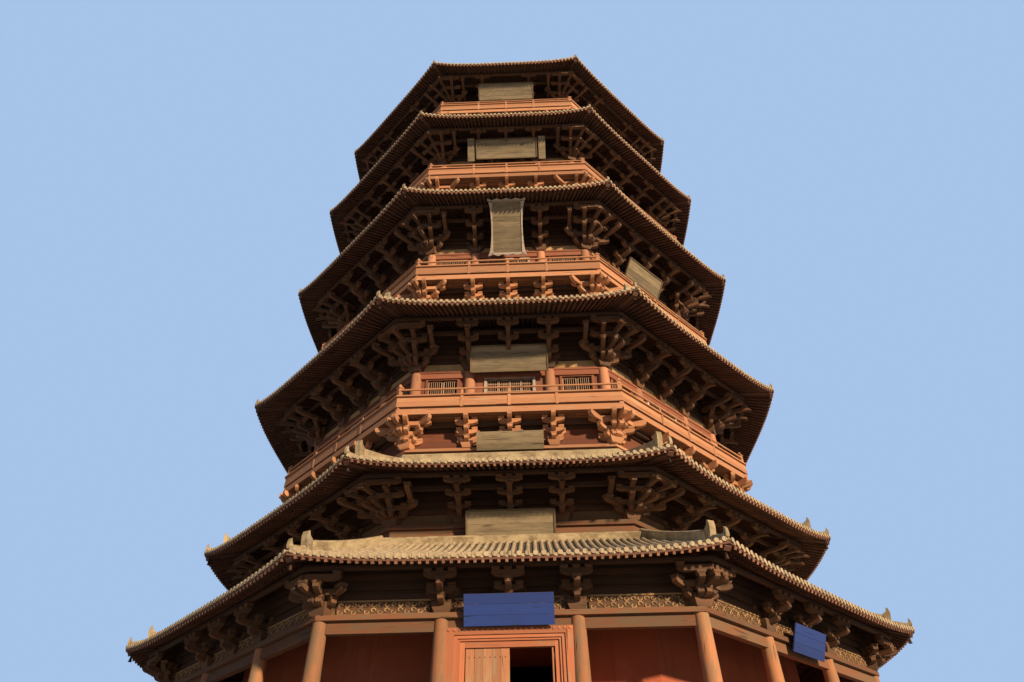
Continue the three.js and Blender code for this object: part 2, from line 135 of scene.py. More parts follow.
# The stone platform: a square lower tier and an octagonal upper tier of coursed limestone blocks round an
# earth core, with a worn coping along each edge and a flight of steps up each. The blocks are dressed by
# hand, so their faces catch the light unevenly and their joints read as dark lines.
turn = math.pi / 4  # from one side of the octagon to the next
half_turn = turn / 2
flare = math.tan(half_turn)  # half a side's length for each metre out from the axis
east, south, sky = (1, 0, 0), (0, -1, 0), (0, 0, 1)


def anticlockwise(outline):
    """The outline in the order that turns its face forward."""
    outline = list(outline)
    doubled_area = sum(a[0] * b[1] - b[0] * a[1] for a, b in zip(outline, outline[1:] + outline[:1]))
    return outline[::-1] if doubled_area < 0 else outline


def oblong(a, b, low, high):
    return [(a, low), (b, low), (b, high), (a, high)]


def prism(outline, origin, along, up, thickness):
    """A flat outline of (along, up) pairs with a thickness across it. Its grain runs along it."""
    along, up, origin = np.array(along, float), np.array(up, float), np.array(origin, float)
    across = np.cross(along, up)
    flat = np.array(anticlockwise(outline), float)
    n = len(flat)
    middle = origin + flat[:, :1] * along + flat[:, 1:] * up
    points = np.vstack([middle - across * thickness / 2, middle + across * thickness / 2])
    faces = [tuple(range(n, 2 * n)), tuple(reversed(range(n)))]
    faces += [(i, (i + 1) % n, n + (i + 1) % n, n + i) for i in range(n)]
    grain = np.vstack([np.column_stack([flat, np.full(n, s * thickness / 2)]) for s in (-1, 1)])
    return points, faces, grain


def placed(members, x=0.0, y=0.0, z=0.0, angle=0.0):
    """Members turned about the upright axis through the origin, then moved."""
    c, s = math.cos(angle), math.sin(angle)
    spin = np.array([[c, s, 0], [-s, c, 0], [0, 0, 1]])
    return [(points @ spin + (x, y, z), faces, grain) for points, faces, grain in members]


def all_round(members):
    """What is made for the south side, on all eight sides."""
    return [member for k in range(8) for member in placed(members, angle=k * turn)]


def assemble(name, members, material, slot, stands_for=(), body="root", crease=35):
    """Members as one piece; each keeps its own grain and gets a tone of its own."""
    faces, start = [], 0
    for points, own_faces, _ in members:
        faces += [tuple(start + i for i in face) for face in own_faces]
        start += len(points)
    mesh = bpy.data.meshes.new(name)
    mesh.from_pydata(np.vstack([points for points, _, _ in members]) * real, [], faces)
    shifts = [np.array([chance.uniform(0, 90) for _ in range(3)]) for _ in members]
    grain = np.vstack([own + shift for (_, _, own), shift in zip(members, shifts)])
    mesh.attributes.new("grain", "FLOAT_VECTOR", "POINT").data.foreach_set("vector", grain.ravel())
    tones = np.concatenate([np.full(len(points), chance.random()) for points, _, _ in members])
    mesh.attributes.new("tone", "FLOAT", "POINT").data.foreach_set("value", tones)
    mesh.shade_smooth()
    mesh.set_sharp_from_angle(angle=math.radians(crease))
    mesh.materials.append(material)
    piece = bpy.data.objects.new(name, mesh)
    scene.collection.objects.link(piece)
    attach(piece, body)
    if stands_for:
        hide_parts(*stands_for)
    return piece


def refinish(node, material):
    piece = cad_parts[node]
    piece.data.materials.clear()
    piece.data.materials.append(material)


def real_box(node):
    low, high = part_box(node)
    return low / real, high / real


multiply = {"data_type": "RGBA", "blend_type": "MULTIPLY"}


def real_metres(put):
    """Where a point of the surface is, in the real tower's metres."""
    return put("VectorMath", {0: put("NewGeometry").outputs["Position"], 3: 1 / real}, operation="SCALE")


def skin(put, look, height, strength, distance):
    """The end of a material: fine relief from `height`, and the shader that gives `look`."""
    bump = put("Bump", {"Height": height, "Strength": strength, "Distance": distance})
    put("OutputMaterial", {"Surface": put("BsdfPrincipled", {**look, "Normal": bump})})


def dressed_stone(name, light, dark, block_length, course):
    """Coursed blocks on upright faces and slabs on level ones, with pitted faces and dark open joints."""
    material, put = blank_material(name)
    at, normal = real_metres(put), put("NewGeometry").outputs["True Normal"]
    aside = put("VectorMath", {0: normal, 1: sky}, operation="CROSS_PRODUCT")
    along = put("VectorMath", {0: aside, 1: at}, operation="DOT_PRODUCT")
    upright = put("CombineXYZ", {0: along, 1: put("SeparateXYZ", {0: at}).outputs[2]})
    facing = put("SeparateXYZ", {0: normal})
    flat = put("Math", {0: facing.outputs[2], 1: 0.7}, operation="GREATER_THAN")
    pattern_at = put("Mix", {0: flat, 4: upright, 5: at}, data_type="VECTOR")
    laid = {"Vector": pattern_at, "Scale": 1.0, "Brick Width": block_length, "Row Height": course}
    mortar = {"Mortar": "#3f3a33", "Mortar Size": 0.02, "Mortar Smooth": 0.25}
    joints = put("TexBrick", {"Color1": light, "Color2": dark, **laid, **mortar}, offset=0.5)
    stains = put("TexNoise", {"Vector": at, "Scale": 0.4, "Detail": 8.0, "Roughness": 0.65})
    stain_tone = put("ValToRGB", {0: stains}, [(0.35, "#8d8779"), (0.5, "#ffffff"), (0.75, "#c9bfa9")])
    tinted = put("Mix", {0: 0.7, 6: joints, 7: stain_tone}, **multiply)
    pits = put("TexNoise", {"Vector": at, "Scale": 11.0, "Detail": 6.0, "Roughness": 0.7})
    carve = put("Math", {0: joints.outputs["Fac"], 1: -1.6}, operation="MULTIPLY")
    relief = put("Math", {0: carve, 1: pits}, operation="ADD")
    skin(put, {"Base Color": tinted, "Roughness": 0.88, "IOR": 1.5}, relief, 0.7, 0.02)
    return material


limestone = dressed_stone("weathered_limestone_blocks", "#a79d8b", "#8d8473", 1.25, 0.42)
for node in ("platform_lower", "platform_upper", "stair_lower", "stair_upper"):
    refinish(node, limestone)
    refinish(node, limestone)

low_tier, high_tier = real_box("platform_lower"), real_box("platform_upper")
ground_floor = high_tier[1].z
coping = {"wide": 0.5, "deep": 0.18, "proud": 0.05, "joint": 0.02, "length": 1.3, "over": 0.012}


def edge_stones(start, end, inward, mitres=(flare, flare)):
    """Coping stones from one corner to the next, the end ones mitred, their top just over the tier's."""
    start, end = np.array(start, float), np.array(end, float)
    length = np.linalg.norm(end - start)
    count = max(1, round(length / coping["length"]))
    gap, out, inside = coping["joint"] / 2, coping["proud"], coping["wide"] - coping["proud"]
    start_at = start + (0, 0, coping["over"] - coping["deep"] / 2)
    stones = []
    for i in range(count):
        low, high = length * i / count + gap, length * (i + 1) / count - gap
        first, last = mitres[0] * (i == 0), mitres[1] * (i == count - 1)
        outline = [(low - first * out, -out), (high + last * out, -out)]
        outline += [(high - last * inside, inside), (low + first * inside, inside)]
        stones.append(prism(outline, start_at, (end - start) / length, inward, coping["deep"]))
    return stones


edge = high_tier[1].x
corner_x = edge * flare
stones = all_round(edge_stones((-corner_x, -edge, ground_floor), (corner_x, -edge, ground_floor), (0, 1, 0)))
square, low_top = low_tier[1].x, low_tier[1].z
terrace_half, terrace_front = 6.5, -low_tier[0].y
corners = [(-terrace_half, -terrace_front), (terrace_half, -terrace_front), (terrace_half, -square)]
corners += [(square, -square), (square, square), (-square, square), (-square, -square)]
corners.append((-terrace_half, -square))
ways = [np.sign(np.subtract(there, here)) for here, there in zip(corners, corners[1:] + corners[:1])]
for i, way in enumerate(ways):
    meeting = ((ways[i - 1], way), (way, ways[(i + 1) % 8]))
    mitres = tuple(float(a[0] * b[1] - a[1] * b[0]) for a, b in meeting)
    here, there = corners[i], corners[(i + 1) % 8]
    stones += edge_stones((*here, low_top), (*there, low_top), (-way[1], way[0], 0), mitres)
assemble("platform_coping", stones, limestone, "stone")


# The ground storey's wall: a thick earth and brick wall in two halves, with the piece over the passage and
# the two thin walls of the entrance bay, all plastered and limewashed in red earth. The wash has faded in
# clouds and run in streaks, and the trowelled plaster under it is slightly uneven.
def limewashed_plaster(name, fresh, faded, run):
    material, put = blank_material(name)
    at = real_metres(put)
    clouds = put("TexNoise", {"Vector": at, "Scale": 0.45, "Detail": 8.0, "Roughness": 0.62})
    wash = put("ValToRGB", {0: clouds}, [(0.3, fresh), (0.52, fresh), (0.72, faded)])
    run_at = put("VectorMath", {0: at, 1: (3.0, 3.0, 0.16)}, operation="MULTIPLY")
    runs = put("TexNoise", {"Vector": run_at, "Scale": 1.0, "Detail": 5.0, "Roughness": 0.6})
    run_mask = put("ValToRGB", {0: runs}, [(0.5, 0.0), (0.72, 0.55)])
    streaked = put("Mix", {0: run_mask, 6: wash, 7: run}, data_type="RGBA")
    trowel = put("TexNoise", {"Vector": at, "Scale": 5.0, "Detail": 8.0, "Roughness": 0.68})
    skin(put, {"Base Color": streaked, "Roughness": 0.92, "IOR": 1.45}, trowel, 0.35, 0.02)
    return material


red_plaster = limewashed_plaster("red_limewashed_plaster", "#a65b41", "#b76d51", "#804433")
plastered = ["ground_wall_west", "ground_wall_east", "wall_over_door"]
for node in plastered + ["vestibule_wall_west", "vestibule_wall_east"]:
    refinish(node, red_plaster)


# The veranda's frame: round pine columns on drum stones, a lintel from column to column and a flat plate
# over them, pegged together without nails. The wood is bare by now, grey brown with fine drying cracks.
def loft(sections, grain):
    """A solid through sections of as many points each, listed so that the first one's face looks back."""
    sections, grain = np.array(sections, float), np.array(grain, float)
    m, n = sections.shape[:2]
    faces = [tuple(range(n)), tuple(reversed(range((m - 1) * n, m * n)))]
    for j in range(m - 1):
        here, there = j * n, (j + 1) * n
        faces += [(there + i, there + (i + 1) % n, here + (i + 1) % n, here + i) for i in range(n)]
    return sections.reshape(-1, 3), faces, grain.reshape(-1, 3)


def side_member(profile, cuts=1, lift=None):
    """A member along the south side with mitred ends, from (distance from the axis, height) pairs."""
    profile = anticlockwise(profile)
    sections, grain = [], []
    for j in range(cuts + 1):
        share = 2 * j / cuts - 1
        row = [(share * r * flare, -r, z + (lift(r, abs(share)) if lift else 0)) for r, z in profile]
        sections.append(row)
        grain.append([(x, r, z) for (x, _, _), (r, z) in zip(row, profile)])
    return loft(sections, grain)


def beam_ring(out, wide, low, high):
    """A squared beam along the south side, its middle `out` from the axis."""
    return side_member(oblong(out - wide / 2, out + wide / 2, low, high))


def lathe(profile, sides=16):
    """A turned piece from (radius, height) pairs listed upward."""
    angles = (np.arange(sides) + 0.5) * 2 * math.pi / sides
    points = [(r * math.cos(a), r * math.sin(a), z) for r, z in profile for a in angles]
    grain = [(z, r * a, r) for r, z in profile for a in angles]
    faces = [tuple(reversed(range(sides))), tuple(range(len(points) - sides, len(points)))]
    for j in range(len(profile) - 1):
        for i in range(sides):
            a, b = j * sides + i, j * sides + (i + 1) % sides
            faces.append((a, b, b + sides, a + sides))
    return np.array(points), faces, np.array(grain)


def weathered_timber(name, paint, faded, bare, worn, dust="#a8927a"):
    """Old earth paint over pine; `worn` is the share of it where the paint has gone."""
    material, put = blank_material(name)
    grain = put("Attribute", attribute_name="grain").outputs["Vector"]
    tone = put("Attribute", attribute_name="tone").outputs["Fac"]
    # Fibres run along each member, about 4 cm apart here, coarser than the real ones so that they show.
    fibre_at = put("VectorMath", {0: grain, 1: (1.1, 24, 24)}, operation="MULTIPLY")
    fibres = put("TexNoise", {"Vector": fibre_at, "Scale": 1.0, "Detail": 5.0, "Roughness": 0.6})
    # Drying cracks, longer and sharper, every 10 to 20 cm.
    crack_at = put("VectorMath", {0: grain, 1: (0.7, 14, 14)}, operation="MULTIPLY")
    cracks = put("TexNoise", {"Vector": crack_at, "Scale": 1.0, "Detail": 2.0, "Roughness": 0.5})
    depth = put("ValToRGB", {0: cracks}, [(0.28, 0.0), (0.34, 1.0)])
    # Patches of paint left, some decimetres long.
    patch_at = put("VectorMath", {0: grain, 1: (0.9, 3.2, 3.2)}, operation="MULTIPLY")
    patches = put("TexNoise", {"Vector": patch_at, "Scale": 1.0, "Detail": 9.0, "Roughness": 0.68})
    frayed = put("Math", {0: fibres, 1: 0.35, 2: patches}, operation="MULTIPLY_ADD")
    edge_at = 0.675 + 0.42 * (0.5 - worn)
    wear = put("MapRange", {0: frayed, 1: edge_at - 0.05, 2: edge_at + 0.09, 3: 0.0, 4: 1.0})
    coat = put("ValToRGB", {0: fibres}, [(0.3, paint), (0.55, paint), (0.8, faded)])
    coloured = put("Mix", {0: wear, 6: coat, 7: bare}, data_type="RGBA")
    member_tone = put("ValToRGB", {0: tone}, [(0.0, 0.72), (0.6, 1.0), (1.0, 1.18)])
    toned = put("Mix", {0: 1.0, 6: coloured, 7: member_tone}, **multiply)
    shaded = put("MapRange", {0: depth, 3: 0.35, 4: 1.0})
    lined = put("Mix", {0: 1.0, 6: toned, 7: shaded}, **multiply)
    facing = put("SeparateXYZ", {0: put("NewGeometry").outputs["Normal"]})
    dust_mask = put("MapRange", {0: facing.outputs[2], 1: 0.5, 2: 0.95, 3: 0.0, 4: 0.55})
    dusty = put("Mix", {0: dust_mask, 6: lined, 7: dust}, data_type="RGBA")
    relief = put("Math", {0: fibres, 1: 0.4, 2: depth}, operation="MULTIPLY_ADD")
    flaked = put("Math", {0: wear, 1: -0.25, 2: relief}, operation="MULTIPLY_ADD")
    skin(put, {"Base Color": dusty, "Roughness": 0.82, "IOR": 1.5}, flaked, 0.5, 0.012)
    return material


bare_pine = weathered_timber("bare_weathered_pine", "#744d34", "#866448", "#6a5541", 0.5)
worn_column_paint = weathered_timber("worn_red_earth_columns", "#a87350", "#b68662", "#8c7155", 0.45)
half_plate = 0.28  # from the face of a plate in to the middles of the columns under it
veranda_ring = -real_box("veranda_frame")[0].y - half_plate
veranda_plate = real_box("veranda_frame")[1].z
lintel_low, lintel_high = veranda_plate - 0.56, veranda_plate - 0.22
plate_deep = 0.17
inner_column = 2.24  # from the middle of a side of the veranda
column_height = veranda_plate - plate_deep - ground_floor
column_profile = [(0.275, 0.1), (0.29, 0.5), (0.285, 0.55 * column_height), (0.25, column_height)]
drum_profile = [(0.44, 0.0), (0.47, 0.05), (0.45, 0.12), (0.37, 0.17)]

column_side, drum_side = [], []
for x in (-inner_column, inner_column, veranda_ring * flare):
    column_side += placed([lathe(column_profile)], x, -veranda_ring, ground_floor)
    drum_side += placed([lathe(drum_profile, 20)], x, -veranda_ring, ground_floor + 0.01)
beam_side = [
    beam_ring(veranda_ring, 0.24, lintel_low, lintel_high),
    beam_ring(veranda_ring, 0.18, lintel_high, veranda_plate - plate_deep),
    beam_ring(veranda_ring, 2 * half_plate, veranda_plate - plate_deep, veranda_plate - 0.002),
]
assemble("veranda_columns", all_round(column_side), worn_column_paint, "aged_timber", ["veranda_frame"])
assemble("veranda_beams", all_round(beam_side), bare_pine, "aged_timber")
assemble("veranda_drum_stones", all_round(drum_side), limestone, "stone")


# The entrance: a timber door frame of stepped boards in the middle bay, painted in red earth, and two plank
# leaves on pins. The west leaf stands shut and the east one open inward. Sun has bleached the paint to
# orange, and it has worn off where hands and rain reach it.
door_timber = weathered_timber("sun_bleached_door_frame", "#b4704f", "#c28763", "#ab8264", 0.3)
leaf_timber = weathered_timber("sun_bleached_door_planks", "#b07a58", "#c09372", "#ad8d6d", 0.4)
frame_low, frame_high = real_box("doorway_frame")
half_door, door_head, door_sill = 1.45, 7.9, ground_floor + 0.16
front, back = -frame_low.y, -frame_high.y
half_frame, frame_top = frame_high.x + 0.1, frame_high.z + 0.14


def upright_board(x0, x1, y_front, y_back, z0, z1):
    """A board that stands; its grain runs up."""
    middle = (0, -(y_front + y_back) / 2, 0)
    return prism(oblong(z0, z1, x0, x1), middle, sky, east, y_front - y_back)


def level_board(x0, x1, y_front, y_back, z0, z1):
    """A board that lies level; its grain runs across."""
    middle = (0, -(y_front + y_back) / 2, 0)
    return prism(oblong(x0, x1, z0, z1), middle, east, sky, y_front - y_back)


def faced_south(profile, sides):
    """A turned piece that lies on an upright face, its tip to the south."""
    points, faces, grain = lathe(profile, sides)
    return [(points[:, [0, 2, 1]] * (1, -1, 1), faces, grain)]


steps = [  # inner edge, outer edge, front face: each board steps back towards the opening
    (1.80, half_frame, front),
    (1.68, 1.80, front - 0.05),
    (1.60, 1.68, front - 0.10),
    (half_door, 1.60, front - 0.16),
]
head_share = 0.85  # how wide the boards of the head are beside those of the sides
frame_boards = [level_board(-half_frame, half_frame, front - 0.02, back, ground_floor, door_sill)]
for inner, outer, face in steps:
    rise = frame_top - (half_frame - outer) * head_share
    low_edge = door_head if inner == half_door else frame_top - (half_frame - inner) * head_share
    for side in (-1, 1):
        a, b = sorted((side * inner, side * outer))
        frame_boards.append(upright_board(a, b, face, back, door_sill, rise))
    frame_boards.append(level_board(-inner, inner, face, back, low_edge, rise))
peg_count, peg_inset = 23, 0.1
peg = faced_south([(0.045, 0.0), (0.055, 0.02), (0.045, 0.045)], 8)
for i in range(peg_count):
    x = -half_frame + peg_inset + 2 * (half_frame - peg_inset) * i / (peg_count - 1)
    frame_boards += placed(peg, x, -front + 0.02, frame_top - 0.075)
assemble("doorway_boards", frame_boards, door_timber, "door_timber", ["doorway_frame"])

leaf_thick, pivot_x, pivot_y = 0.08, half_door - 0.028 - 0.04, -(back + 0.08)
leaf_low, leaf_high = door_sill + 0.012, door_head - 0.012
plank_count, stud_count = 5, 8
rail_levels = [leaf_low + (leaf_high - leaf_low) * share for share in (0.08, 0.5, 0.92)]
plank_front, plank_back = 0.034, -0.012


def door_leaf(side):
    """A plank leaf about its pivot: upright planks in front, three rails behind, a pin at top and foot."""
    near, far = -side * leaf_thick / 2, side * (pivot_x - 0.01)
    members = []
    width = (far - near) / plank_count
    for i in range(plank_count):
        a, b = sorted((near + width * i, near + width * (i + 1)))
        members.append(upright_board(a + 0.004, b - 0.004, plank_front, plank_back, leaf_low, leaf_high))
    a, b = sorted((near, far))
    for z in rail_levels:
        members.append(level_board(a, b, plank_back, -leaf_thick / 2, z - 0.09, z + 0.09))
    return members + [lathe([(0.03, door_sill + 0.001), (0.03, door_head - 0.001)], 10)]


def leaf_iron(side):
    """Rows of round-headed studs over the rails, and a ring plate near the meeting edge."""
    face_y = 0.0005 - plank_front
    stud = faced_south([(0.022, 0.0), (0.018, 0.004), (0.006, 0.006)], 8)
    members = []
    for z in rail_levels:
        for i in range(stud_count):
            members += placed(stud, side * (0.08 + i * 0.165), face_y, z)
    plate = faced_south([(0.07, 0.0), (0.06, 0.005)], 16)
    return members + placed(plate, side * (pivot_x - 0.12), face_y, leaf_low + 1.2)


def cast_iron(name, metal, rust):
    """Cast iron left in the weather: dark, dull, with brown rust in clouds."""
    material, put = blank_material(name)
    at = real_metres(put)
    clouds = put("TexNoise", {"Vector": at, "Scale": 3.0, "Detail": 8.0, "Roughness": 0.7})
    colour = put("ValToRGB", {0: clouds}, [(0.38, metal), (0.62, rust)])
    dull = put("MapRange", {0: clouds, 1: 0.35, 2: 0.65, 3: 0.45, 4: 0.85})
    sand = put("TexNoise", {"Vector": at, "Scale": 30.0, "Detail": 4.0, "Roughness": 0.6})
    skin(put, {"Base Color": colour, "Metallic": 0.75, "Roughness": dull}, sand, 0.3, 0.01)
    return material


iron = cast_iron("rusted_cast_iron", "#3a3733", "#5e4332")
for name, side, opened in (("west", 1, 0.0), ("east", -1, -math.pi / 2)):
    hung = {"x": -side * pivot_x, "y": pivot_y, "angle": opened}
    node = f"door_leaf_{name}"
    assemble(f"{node}_planks", placed(door_leaf(side), **hung), leaf_timber, "door_timber", [node], body=node)
    assemble(f"{node}_studs", placed(leaf_iron(side), **hung), iron, "cast_iron", body=node)


# Bracket sets: on every column head a cap block carries tiers of arms, each tier reaching one jump further
# out, with small blocks between them, up to a round purlin. Corner sets fan out in five directions. All are
# of pine, joined by notches. Clay plaster under stacked beams fills the wall line between the sets.
arm_wide = 0.2
cap_block = {"wide": 0.64, "high": 0.4}
small_block = 0.3
arm_share = 0.64  # of each tier's height; the bearing block takes the rest
oblique = math.radians(67.5)


def squared_block(wide, low, high):
    """A bearing block: straight above, and cut in below."""
    waist = low + (high - low) * 0.45
    foot, head = wide * 0.36, wide / 2
    halves = ((foot, low), (head, waist), (head, high))
    points = np.array([(x, y, z) for half, z in halves for x, y in oblong(-half, half, -half, half)])
    faces = [(3, 2, 1, 0), (8, 9, 10, 11)]
    for j in (0, 4):
        faces += [(j + i, j + (i + 1) % 4, j + 4 + (i + 1) % 4, j + 4 + i) for i in range(4)]
    return points, faces, points


def outward(angle):
    """The level direction that lies `angle` round from the south."""
    return math.sin(angle), -math.cos(angle), 0


def outward_arm(rear, tip, low, high, angle):
    """An arm that reaches outward, its end cut up from below in three strokes."""
    h = high - low
    outline = [(rear, low), (tip - 0.24, low), (tip - 0.1, low + 0.18 * h), (tip, low + 0.45 * h)]
    return prism(outline + [(tip, high), (rear, high)], (0, 0, 0), outward(angle), sky, arm_wide)


def cut_end(x, low, high):
    """The three strokes that cut an arm's end up from below, for an arm that ends at x."""
    h, inward = high - low, -math.copysign(1.0, x)
    return [(x + 0.24 * inward, low), (x + 0.09 * inward, low + 0.25 * h), (x, low + 0.55 * h), (x, high)]


def cross_arm(half, out, low, high):
    """An arm along the wall, both of its ends cut up from below."""
    outline = cut_end(half, low, high) + list(reversed(cut_end(-half, low, high)))
    return prism(outline, (0, -out, 0), east, sky, arm_wide)


def corner_arms_along(out, low, high, length, pitch):
    """The two arms of a side that run in from its corners, `out` from the axis, each with its end block."""
    arms = []
    for end in (-1, 1):
        outline = [(0, high), (0, low)] + [(end * x, z) for x, z in cut_end(-length, low, high)]
        arms.append(prism(outline, (end * out * flare, -out, 0), east, sky, arm_wide))
        block = squared_block(small_block * 0.9, high, low + pitch)
        arms += placed([block], end * (out * flare - length + 0.14), -out)
    return arms


def slanted_arm(rear, tip, low, high, angle, drop):
    """A lever arm that slants down outward to a pointed beak."""
    outline = [(rear, low + drop), (tip - 0.30, low + 0.01), (tip, low - 0.07), (tip - 0.10, low + 0.06)]
    outline += [(tip - 0.34, high - 0.02), (rear, high + drop)]
    return prism(outline, (0, 0, 0), outward(angle), sky, arm_wide * 0.95)


def tier_levels(rise, tiers, heads):
    """Foot of the lowest arm and height of a tier; without heads, one more tier holds the last cross arm."""
    seat = cap_block["high"] * 0.6
    return seat, (rise - seat) / (tiers if heads else tiers + 1)


def bracket_set(rise, reach, tiers, arms, levers=0, crosses=True, cap=1.0, heads=0.0):
    """One set about its own foot, facing south; `arms` are (direction, stretch, tiers) triples. The top arms
    pass the reach by `heads`, or else a cross arm lies there for the purlin."""
    members = [squared_block(cap_block["wide"] * cap, 0.0, cap_block["high"])]
    seat, pitch = tier_levels(rise, tiers, heads)
    deep = arm_share * pitch
    for tier in range(tiers):
        low = seat + tier * pitch
        high, next_low = low + deep, low + pitch
        out = reach * (tier + 1) / tiers
        for angle, stretch, own_tiers in arms:
            if tier >= own_tiers:
                continue
            tip = out * stretch
            if heads and tier == tiers - 1:
                members.append(outward_arm(-0.15, tip + heads, low, next_low - 0.01, angle))
                continue
            if tier >= tiers - levers:
                members.append(slanted_arm(-0.15, tip + 0.34, low, high, angle, 0.12))
            else:
                members.append(outward_arm(-0.15, tip + 0.16, low, high, angle))
            bearing = placed([squared_block(small_block, high, next_low)], 0, -tip)
            members += placed(bearing, angle=angle)
        rows = [(0.0, 0.46 + 0.12 * tier)] if tier < 2 else []
        if tier and crosses:
            rows.append((reach * tier / tiers, 0.46 + 0.03 * tier))
        for row_out, half in rows:
            members.append(cross_arm(half, row_out, low, high))
            for x in (-half + 0.14, half - 0.14):
                members += placed([squared_block(small_block * 0.9, high, next_low)], x, -row_out)
    if crosses and not heads:
        low = seat + tiers * pitch
        members.append(cross_arm(0.54, reach, low, low + deep))
        for x in (-0.4, 0.0, 0.4):
            members += placed([squared_block(small_block * 0.9, low + deep, low + pitch)], x, -reach)
    return members


def purlin_line(out, height, radius=0.12):
    """A round purlin along the south side; `height` is its top."""
    angles = [2 * math.pi * i / 10 for i in range(10)]
    return side_member([(out + radius * math.cos(a), height - radius + radius * math.sin(a)) for a in angles])


def eave_ring(place, ring, beside, brackets, tiers, levers, middle, clay, dropped=0.0):
    """The bracket sets of one eave, with the beams at the wall line and under the rafters."""
    name, roof, low = f"{place}_bracket_sets", roofs[place], real_box(brackets)[0]
    base, purlin_out = low.z - dropped, -low.y
    under = lambda r: roof["low"] + roof["under"] * (roof["eave"] - r)
    purlin_top = under(purlin_out) - 0.005
    rise, reach = purlin_top - 0.24 - base, purlin_out - ring
    plain = bracket_set(rise, reach, tiers, straight, levers)
    corner = bracket_set(rise, reach, tiers, corner_fan, levers, crosses=False, cap=1.1)
    side = []
    for x in (-beside, beside):
        side += placed(plain, x, -ring, base)
    if middle:
        side += placed(bracket_set(rise, reach, tiers, straight, 0, cap=0.8), 0, -ring, base)
    side += placed(placed(corner, 0, -ring / math.cos(half_turn), base), angle=half_turn)
    seat, pitch = tier_levels(rise, tiers, 0.0)
    deep = arm_share * pitch
    for tier in range(1, tiers + 1):
        low = base + seat + tier * pitch
        side += corner_arms_along(ring + reach * tier / tiers, low, low + deep, 0.7 + 0.25 * tier, pitch)
    if tiers > 2:
        low = base + seat + 2 * pitch
        for x in (0.85 - ring * flare, ring * flare - 0.85):
            side += placed([outward_arm(0.3, reach + 0.16, low, low + deep, 0.0)], x, -ring)
            side += placed([squared_block(small_block, low + deep, low + pitch)], x, -ring - reach)
            side += placed([squared_block(small_block, low - pitch + deep, low)], x, -ring - 0.45 * reach)
    assemble(name, all_round(side), shade_dark_bracket_pine, "aged_timber", [brackets])

    wall_top, fill_top = under(ring) - 0.03, base + 0.5
    z, beams = fill_top, [purlin_line(purlin_out, purlin_top)]
    while z + 0.12 < wall_top:
        beams.append(beam_ring(ring, 0.17, z, min(z + 0.22, wall_top)))
        z += 0.34
    if tiers > 2:
        out, z = ring + reach * 2 / tiers, base + seat + 3 * pitch
        beams.append(beam_ring(out, 0.13, z, min(z + 0.18, under(out) - 0.02)))
    beams.append(side_member(oblong(ring - 0.06, ring, fill_top, wall_top)))
    assemble(f"{name}_beams", all_round(beams), shade_black_pine, "aged_timber")
    fill = side_member(oblong(ring - 0.06, ring + 0.02, base, fill_top))
    assemble(f"{name}_infill", all_round([fill]), clay, "red_plaster")


straight = [(0.0, 1.0, 9)]
three_way = [(0.0, 1 / math.cos(half_turn), 9), (-half_turn, 1.0, 9), (half_turn, 1.0, 9)]
corner_fan = three_way + [(-oblique, 1.0, 2), (oblique, 1.0, 2)]
balcony_fan = three_way + [(-oblique, 1.3, 3), (oblique, 1.3, 3)]
# The bracket pine is painted darker than the wood is: painted shade under the eaves, also on the veranda
# frieze's back boards.
shade_dark_bracket_pine = weathered_timber("smoke_dark_bracket_pine", "#684832", "#836247", "#5c4936", 0.5, "#8f7a62")
# The wall beams, purlins and deck beams are near black in their colour: painted shade under the eaves and the
# decks.
shade_black_pine = weathered_timber("smoke_black_wall_beams", "#4a3222", "#5b4230", "#40332a", 0.4, "#6b5b4a")
clay_plaster = limewashed_plaster("bare_clay_plaster", "#6d573f", "#82694c", "#4f3e2e")
# The upper storeys' clay is painted paler than the bare clay below: painted sunlight on infill that lies in
# the eaves' shade.
sunlit_painted_clay = limewashed_plaster("ochre_washed_clay", "#b39468", "#c7a97c", "#8a6e4b")

balcony_numbers = (2, 3, 4, 5)
thick_at_eave = 0.32
first_ring = -real_box("storey1_beam_ring")[0].y - half_plate
column_share = 0.2134  # place of a side's two inner columns, as a share of the side
ring_of = {n: -real_box(f"storey{n}_wall")[0].y - half_plate for n in balcony_numbers}
half_storey_out = {n: ring_of[n] + 0.2 for n in balcony_numbers}


def inner_columns(ring):
    """From the middle of a side to each of its two inner columns."""
    return 2 * ring * flare * column_share


def roof_form(node, inner, corner_rise, bow=0.16, under=None, fuller=0.0):
    """A roof's edge and slope, from its solid; the middle of its edge lies `fuller` over the solid's foot."""
    low, high = real_box(node)
    eave, edge_low = -low.y, low.z + fuller
    edge = edge_low + thick_at_eave
    under = (high.z - edge) / (eave - inner) - 0.03 if under is None else under
    form = {"eave": eave, "edge": edge, "low": edge_low, "inner": inner, "crown": high.z}
    return {**form, "bow": bow, "under": under, "rise": corner_rise}


roofs = {
    "veranda": roof_form("veranda_roof", real_box("ground_wall_east")[1].x, 0.32, fuller=0.18),
    "storey1": roof_form("storey1_roof", half_storey_out[2], 0.42, fuller=0.18),
    "storey2": roof_form("storey2_roof", half_storey_out[3], 0.5),
    "storey3": roof_form("storey3_roof", half_storey_out[4], 0.5),
    "storey4": roof_form("storey4_roof", half_storey_out[5], 0.5),
    "storey5": roof_form("storey5_roof", 1.7, 0.5, bow=0.34, under=0.47),
}
eave_ring("veranda", veranda_ring, inner_column, "veranda_brackets", 2, 0, True, clay_plaster)
eave_ring("storey1", first_ring, inner_columns(first_ring), "storey1_eave_brackets", 3, 1, True, clay_plaster)
plate_drop = {2: 0.52, 3: 0.46, 4: 0.2, 5: 0.05}  # of the dressed plate and sets below the plain solids'
for n in balcony_numbers:
    beside, brackets = inner_columns(ring_of[n]), f"storey{n}_eave_brackets"
    eave_ring(f"storey{n}", ring_of[n], beside, brackets, 3, 1, n < 5, sunlit_painted_clay, plate_drop[n])


